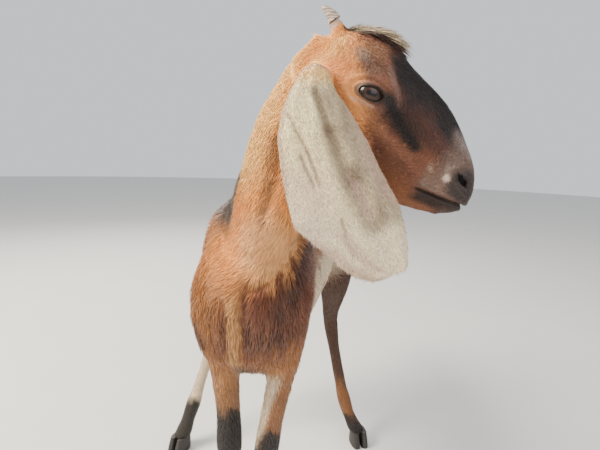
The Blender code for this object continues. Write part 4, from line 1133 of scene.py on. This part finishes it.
def size_factor(roots, kind):
    """Length and width of the tufts against their region's usual ones."""
    x, y, z = to_kid(roots).T
    if kind == "head":
        s, _l, t = to_head(roots).T
        small = smooth(0.10, 0.175, s)
        eye = smooth(0.030, 0.018, eye_distance(roots))
        poll = smooth(0.010, -0.015, s) * smooth(0.0, -0.015, t)
        factor = (1.0 - 0.55 * small) * (1.0 - 0.5 * eye) * (1.0 + 0.3 * poll)
        return factor * (1.0 - 0.6 * horn_foot(roots))
    if kind == "leg":
        return 0.66 + 0.70 * smooth(0.12, 0.30, z)
    if kind == "neck":
        throat = smooth(0.02, 0.07, x - (z - 0.52) * 0.30)
        return 1.0 + 0.25 * throat - 0.35 * smooth(0.60, 0.70, z)
    if kind == "torso":
        groin = smooth(0.33, 0.39, y) * smooth(0.40, 0.35, z)
        return 1.0 + 0.25 * smooth(0.02, -0.04, y) - 0.2 * smooth(0.34, 0.30, z) - 0.60 * groin
    if kind == "ear":
        return 1.0 + 0.35 * smooth(0.67, 0.70, z)
    return np.ones(len(roots))


def keep_clear(roots):
    """True away from the eye openings, nostrils and the line of the mouth."""
    m = mirrored_head(roots)
    clear = oval(m, (EYE_S, EYE_T), 0.0148, 0.0082, SLIT_TILT) > 1
    clear &= (oval(m, NOSTRIL_AT, 0.0090, 0.0034, NOSTRIL_TILT) > 1) | (m[:, 1] < 0.008)
    return clear & ((m[:, 0] < 0.155) | (np.abs(above_mouth(m)) > 0.0022))


def region_pieces(own, bends, roots):
    """Tufts sorted into pieces of one region each, small enough to pass the size rule."""
    limit = PIECE_TRIANGLES // (4 + 6 * bends)
    for index in np.unique(own):
        at = np.nonzero(own == index)[0]
        _angle, along = unwrap_angle(roots[at], index)
        at = at[np.argsort(along, kind="stable")]
        for part, chunk in enumerate(np.array_split(at, math.ceil(len(at) / limit))):
            yield index, part, chunk


def tuft_tints(roots, own):
    """Markings at the roots, with each tuft a little lighter or darker."""
    colours = markings(roots, own) * RNG.uniform(0.80, 1.22, len(roots))[:, None]
    fleck = RNG.uniform(size=len(roots)) < FLECKS
    colours[fleck] = colours[fleck] * 1.3 + 0.01
    return colours


def density_of(kind):
    if kind == "head":
        return lambda p: 0.75 + 0.9 * smooth(0.06, 0.15, to_head(p)[:, 0])
    if kind == "leg":
        return lambda p: 0.7 + 0.9 * smooth(0.30, 0.12, to_kid(p)[:, 2])
    return None


def make_coat(skin, regions):
    material = coat_material("coat_hair", rough=0.55, strength=0.18, scale=900.0)
    for kind, (count, length, width, lift, bends) in TUFTS.items():
        indices = [i for i in range(len(FLESH)) if KINDS[i] == kind]
        roots, normals, own = root_places(skin.data, regions, indices, count, density_of(kind))
        if kind == "head":
            clear = keep_clear(roots)
            roots, normals, own = roots[clear], normals[clear], own[clear]
        flow = lie_of_coat(roots, own)
        factor = size_factor(roots, kind)
        colours = tuft_tints(roots, own)
        n = len(roots)
        sizes = np.stack((length * factor * RNG.uniform(0.75, 1.25, n),
                          width * factor ** 0.6 * RNG.uniform(0.8, 1.25, n),
                          lift * factor * RNG.uniform(0.6, 1.5, n)))
        for index, part, at in region_pieces(own, bends, roots):
            piece = tuft_piece("coat_%s_%d" % (FLESH[index], part), roots[at], normals[at], flow[at],
                               sizes[:, at], colours[at], bake_places(roots[at], index), bends)
            piece.data.materials.append(material)
            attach(piece, "root")


def bake_places(roots, index):
    """Each root's place on the unwrap of its region."""
    return unit_square(np.stack(unwrap_angle(roots, index), axis=-1))


LOCK_BENDS = 4
LOCK_SPREAD = 0.10
FORELOCK_BEND = 6.0
TAIL_BEND = 3.0


def lock_piece(name, region, roots, normals, flow, sizes, colours, bend):
    """Longer locks with more bends than the short coat."""
    piece = tuft_piece(name, roots, normals, flow, sizes, colours, bake_places(roots, region),
                       LOCK_BENDS, bend, LOCK_SPREAD)
    piece.data.materials.append(bpy.data.materials["coat_hair"])
    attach(piece, "root")


def on_crest(points):
    """Where the forelock grows."""
    s, l, t = to_head(points).T
    return ((np.abs(l) < 0.023) & (s > -0.006) & (s < 0.034) & (t > 0.0)).astype(float)


def make_forelock(skin, regions):
    """Dark locks over the forehead under a paler crest."""
    head = FLESH.index("head")
    roots, normals, _own = root_places(skin.data, regions, [head], FORELOCK_TUFTS, on_crest)
    l = to_head(roots)[:, 1:2]
    n = len(roots)
    flow = AHEAD + LEFT * (l * 10.0) + 0.10 * RNG.normal(size=(n, 3))
    off = np.abs(l[:, 0])
    length = RNG.uniform(0.018, 0.034, n) * (1.0 - 0.35 * smooth(0.012, 0.023, off))
    lift = RNG.uniform(0.0008, 0.0120, n) * smooth(0.026, 0.006, off)
    pale = smooth(0.0028, 0.0052, lift) * smooth(0.1, 0.4, RNG.uniform(size=n))
    colours = painted(n, FORELOCK, [(0.9 * pale, BLOND)]) * RNG.uniform(0.8, 1.25, n)[:, None]
    sizes = (length, RNG.uniform(0.0006, 0.0012, n), lift)
    lock_piece("forelock", head, roots, normals, flow, sizes, colours,
               FORELOCK_BEND)


def make_tail_tuft(skin, regions):
    tail = FLESH.index("tail")
    roots, normals, own = root_places(skin.data, regions, [tail], TAIL_TUFTS)
    n = len(roots)
    flow = np.array((0.0, 0.20, -1.0)) + 0.10 * RNG.normal(size=(n, 3))
    colours = markings(roots, own) * RNG.uniform(0.8, 1.4, n)[:, None]
    sizes = [RNG.uniform(*limits, n) for limits in ((0.020, 0.034), (0.0008, 0.0015), (0.001, 0.004))]
    lock_piece("tail_tuft", tail, roots, normals, flow, sizes, colours, TAIL_BEND)


# Materials

def set_inputs(node, values):
    for key, value in values.items():
        node.inputs[key].default_value = value


def new_material(name, values):
    """A material with its shader's inputs set."""
    mat = bpy.data.materials.new(name)
    mat.use_nodes = True
    shader = mat.node_tree.nodes["Principled BSDF"]
    set_inputs(shader, values)
    return mat, mat.node_tree, shader


def add_bump(tree, shader, height, strength, distance=0.001):
    bump = tree.nodes.new("ShaderNodeBump")
    set_inputs(bump, {"Strength": strength, "Distance": distance})
    tree.links.new(height, bump.inputs["Height"])
    tree.links.new(bump.outputs["Normal"], shader.inputs["Normal"])


def texture_node(tree, kind, values):
    """A texture in the object's own coordinates."""
    place = tree.nodes.new("ShaderNodeTexCoord")
    node = tree.nodes.new(kind)
    set_inputs(node, values)
    tree.links.new(place.outputs["Object"], node.inputs["Vector"])
    return node


def noise_node(tree, scale):
    return texture_node(tree, "ShaderNodeTexNoise", {"Scale": scale, "Detail": 3.0})


def shade_between(tree, factor, low, high):
    ramp = tree.nodes.new("ShaderNodeValToRGB")
    ramp.color_ramp.elements[0].color = (*low, 1.0)
    ramp.color_ramp.elements[1].color = (*high, 1.0)
    tree.links.new(factor, ramp.inputs["Fac"])
    return ramp.outputs["Color"]


def coat_colour(tree, shader, fine, low, high):
    """The mesh's own colours, a little lighter and darker by a fine noise."""
    coat = tree.nodes.new("ShaderNodeAttribute")
    coat.attribute_name = "Coat"
    mix = tree.nodes.new("ShaderNodeMixRGB")
    mix.blend_type = "MULTIPLY"
    mix.inputs["Fac"].default_value = 1.0
    tree.links.new(coat.outputs["Color"], mix.inputs["Color1"])
    tree.links.new(shade_between(tree, fine.outputs["Fac"], low, high), mix.inputs["Color2"])
    tree.links.new(mix.outputs["Color"], shader.inputs["Base Color"])


def coat_material(name, rough, strength, scale):
    mat, tree, shader = new_material(name, {"Roughness": rough, "Specular IOR Level": 0.35,
                                            "Sheen Weight": 0.12, "Sheen Roughness": 0.5})
    fine = noise_node(tree, scale)
    coat_colour(tree, shader, fine, (0.78, 0.76, 0.74), (1.20, 1.19, 1.17))
    add_bump(tree, shader, fine.outputs["Fac"], strength)
    return mat


def plain_material(name, low, high, rough, scale, strength, shine=0.5):
    mat, tree, shader = new_material(name, {"Roughness": rough, "Specular IOR Level": shine})
    fine = noise_node(tree, scale)
    tree.links.new(shade_between(tree, fine.outputs["Fac"], low, high), shader.inputs["Base Color"])
    add_bump(tree, shader, fine.outputs["Fac"], strength)
    return mat


def ringed_material(name, low, high, rough, rings):
    """Horn or hoof with growth rings up its height."""
    mat, tree, shader = new_material(name, {"Roughness": rough})
    wave = texture_node(tree, "ShaderNodeTexWave", {"Scale": rings, "Distortion": 3.0, "Detail": 3.0,
                                                    "Detail Scale": 2.0})
    wave.bands_direction = "Z"
    tree.links.new(shade_between(tree, wave.outputs["Fac"], low, high), shader.inputs["Base Color"])
    add_bump(tree, shader, wave.outputs["Fac"], 0.35, 0.0006)
    return mat


# Eyes and lids

EYE_RADIUS = 0.0125
SLIT = (0.0122, 0.0060)
SLIT_TILT = math.radians(26.0)
LOOK_FORWARD = math.radians(12.0)
LOOK_UP = math.radians(6.0)
# Upper and lower lid: side, opening, distance from the ball's centre, thickness
LIDS = ((1, 0.95, 0.0130, 0.00088), (-1, 1.0, 0.0128, 0.00062))


def eye_matrix(name, side):
    look = unit(LEFT * side * math.cos(LOOK_FORWARD) + AHEAD * math.sin(LOOK_FORWARD)
                + DORSAL * math.sin(LOOK_UP))
    slit = AHEAD * math.cos(SLIT_TILT) + DORSAL * math.sin(SLIT_TILT)
    slit = unit(slit - look * (slit @ look))
    rows = Matrix((Vector(slit), Vector(np.cross(look, slit)), Vector(look))).transposed().to_4x4()
    return Matrix.Translation(Vector(EYES[name])) @ rows


def eye_material():
    mat, tree, shader = new_material("eye_ball", {"Roughness": 0.22, "Specular IOR Level": 0.25,
                                                  "Coat Weight": 0.22, "Coat Roughness": 0.04})
    coat_colour(tree, shader, noise_node(tree, 700.0), (0.6, 0.6, 0.6), (1.3, 1.25, 1.2))
    return mat


def eye_colours(p):
    """Brown iris with a darker edge and a level slit of a pupil, in the eye's own frame."""
    out = np.hypot(p[:, 0], p[:, 1])
    front = p[:, 2] > 0
    iris = smooth(0.0096, 0.0086, out) * front
    pupil = (np.abs(p[:, 0]) / 0.0050) ** 4 + (np.abs(p[:, 1]) / 0.0021) ** 4
    return painted(len(p), SCLERA, [(iris, IRIS), (iris * smooth(0.0045, 0.0088, out), IRIS_EDGE),
                                    (smooth(1.5, 0.7, pupil) * front, PUPIL)])


def make_eye(name, side, material):
    bm = bmesh.new()
    bmesh.ops.create_uvsphere(bm, u_segments=72, v_segments=72, radius=EYE_RADIUS)
    mesh = mesh_of(bm, "eyeball_" + name)
    mesh.shade_smooth()
    colour_mesh(mesh, eye_colours(vertices_of(mesh)))
    mesh.transform(eye_matrix(name, side))
    mesh.materials.append(material)
    ball = add_object("eyeball_" + name, mesh)
    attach(ball, "root")
    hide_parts("eye_" + name)


def tube_points(path, radii, sides=8):
    rings = []
    last = len(path) - 1
    for i, (at, radius) in enumerate(zip(path, radii)):
        tangent = unit(path[min(i + 1, last)] - path[max(i - 1, 0)])
        out = unit(at - tangent * (at @ tangent))
        side = np.cross(tangent, out)
        turn = 2 * math.pi * np.arange(sides) / sides
        rings.append(at + radius * (np.cos(turn)[:, None] * out + np.sin(turn)[:, None] * side))
    return rings


def lid_arc(sign, grow, reach, radius, count=22):
    """Arc of an upper (+1) or lower (-1) lid over the ball, in the eye's own frame."""
    path, radii = [], []
    for i in range(count):
        angle = math.pi * i / (count - 1)
        x = -SLIT[0] * math.cos(angle) * (1 + 0.03 * grow)
        y = sign * SLIT[1] * math.sin(angle) ** 1.25 * grow
        flat = min(0.985 * reach, math.hypot(x, y))
        x, y = (x * flat / max(math.hypot(x, y), 1e-6), y * flat / max(math.hypot(x, y), 1e-6))
        path.append(np.array((x, y, math.sqrt(max(reach ** 2 - x * x - y * y, 1e-8)))))
        radii.append(radius * (0.55 + 0.45 * math.sin(angle)))
    return path, radii


def make_lids(name, side, material):
    bm = bmesh.new()
    for lid in LIDS:
        rows = [[bm.verts.new(p) for p in ring] for ring in tube_points(*lid_arc(*lid))]
        for a, b in zip(rows, rows[1:]):
            for i in range(len(a)):
                j = (i + 1) % len(a)
                bm.faces.new((a[i], a[j], b[j], b[i]))
        bm.faces.new(rows[0])
        bm.faces.new(rows[-1][::-1])
    bmesh.ops.recalc_face_normals(bm, faces=bm.faces)
    mesh = mesh_of(bm, "eyelids_" + name)
    mesh.transform(eye_matrix(name, side))
    mesh.shade_smooth()
    mesh.materials.append(material)
    lids = add_object("eyelids_" + name, mesh)
    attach(lids, "root")


# Studio

CAMERA_FROM_POLL = np.array((0.013, -0.472, -0.112))
CAMERA_YAW, CAMERA_PITCH, CAMERA_ROLL = (math.radians(v) for v in (6.0, 9.3, 2.0))
# Each light's place, aim, size, power and colour
LIGHTS = {"key": ((-1.9, -0.7, 2.3), (0.0, -0.1, 0.5), 1.3, 215.0, (1.0, 0.91, 0.76)),
          "fill": ((1.5, -2.1, 1.5), (0.0, 0.0, 0.4), 2.2, 36.0, (1.0, 0.96, 0.92)),
          "rim": ((-1.2, 1.8, 1.9), (0.0, 0.0, 0.5), 1.6, 55.0, (1.0, 0.93, 0.84))}
FLOOR_RADIUS = 9.0
SKY = (0.88, 0.91, 0.96, 1.0)
SKY_STRENGTH = 0.98
CAMERA_LENS = 27.0
CAMERA_SENSOR = 36.0


def make_camera():
    data = bpy.data.cameras.new("camera")
    data.lens = CAMERA_LENS
    data.sensor_width = CAMERA_SENSOR
    data.clip_start = 0.01
    ob = add_object("camera", data)
    sy, cy = math.sin(CAMERA_YAW), math.cos(CAMERA_YAW)
    sp, cp = math.sin(CAMERA_PITCH), math.cos(CAMERA_PITCH)
    look = Vector((-sy * cp, cy * cp, -sp))
    right = Vector((cy, sy, 0.0))
    up = right.cross(look)
    turned = right * math.cos(CAMERA_ROLL) + up * math.sin(CAMERA_ROLL)
    rise = up * math.cos(CAMERA_ROLL) - right * math.sin(CAMERA_ROLL)
    rows = Matrix((turned, rise, -look)).transposed().to_4x4()
    ob.matrix_world = Matrix.Translation(Vector(HEAD_ORIGIN + CAMERA_FROM_POLL)) @ rows
    bpy.context.scene.camera = ob


def make_light(name, at, aim, size, power, colour):
    data = bpy.data.lights.new(name, "AREA")
    data.size = size
    data.energy = power
    data.color = colour
    ob = add_object(name, data)
    ob.location = at
    ob.rotation_euler = (Vector(aim) - Vector(at)).to_track_quat("-Z", "Y").to_euler()


def make_studio():
    bm = bmesh.new()
    bmesh.ops.create_circle(bm, cap_ends=True, radius=FLOOR_RADIUS, segments=96)
    mesh = mesh_of(bm, "floor")
    mesh.materials.append(plain_material("floor_paper", (0.60, 0.59, 0.57), (0.64, 0.63, 0.61),
                                         rough=0.85, scale=6.0, strength=0.02))
    add_object("floor", mesh)
    world = bpy.data.worlds.new("studio")
    world.use_nodes = True
    back = world.node_tree.nodes["Background"]
    back.inputs["Color"].default_value = SKY
    back.inputs["Strength"].default_value = SKY_STRENGTH
    bpy.context.scene.world = world
    for name, values in LIGHTS.items():
        make_light(name, *values)


def make_keratin():
    """Ringed horn and hoof on the nodes' own meshes."""
    low, high = (tuple(linear(colour)) for colour in ((134, 118, 104), (182, 164, 146)))
    materials = {"horn": ringed_material("horn_keratin", low, high, rough=0.42, rings=110.0),
                 "hoof": ringed_material("hoof_keratin", (0.012, 0.010, 0.009), (0.030, 0.025, 0.021),
                                         rough=0.55, rings=70.0)}
    for name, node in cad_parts.items():
        if name[:4] in materials:
            node.data.materials[0] = materials[name[:4]]


def main():
    skin, regions = make_skin()
    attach(skin, "root")
    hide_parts(*FLESH)
    make_coat(skin, regions)
    make_forelock(skin, regions)
    make_tail_tuft(skin, regions)
    ball = eye_material()
    lid = plain_material("eyelid", (0.010, 0.007, 0.005), (0.030, 0.019, 0.014),
                         rough=0.75, scale=500.0, strength=0.3, shine=0.15)
    for name, side in (("right", -1), ("left", 1)):
        make_eye(name, side, ball)
        make_lids(name, side, lid)
    make_keratin()
    make_camera()
    make_studio()


main()
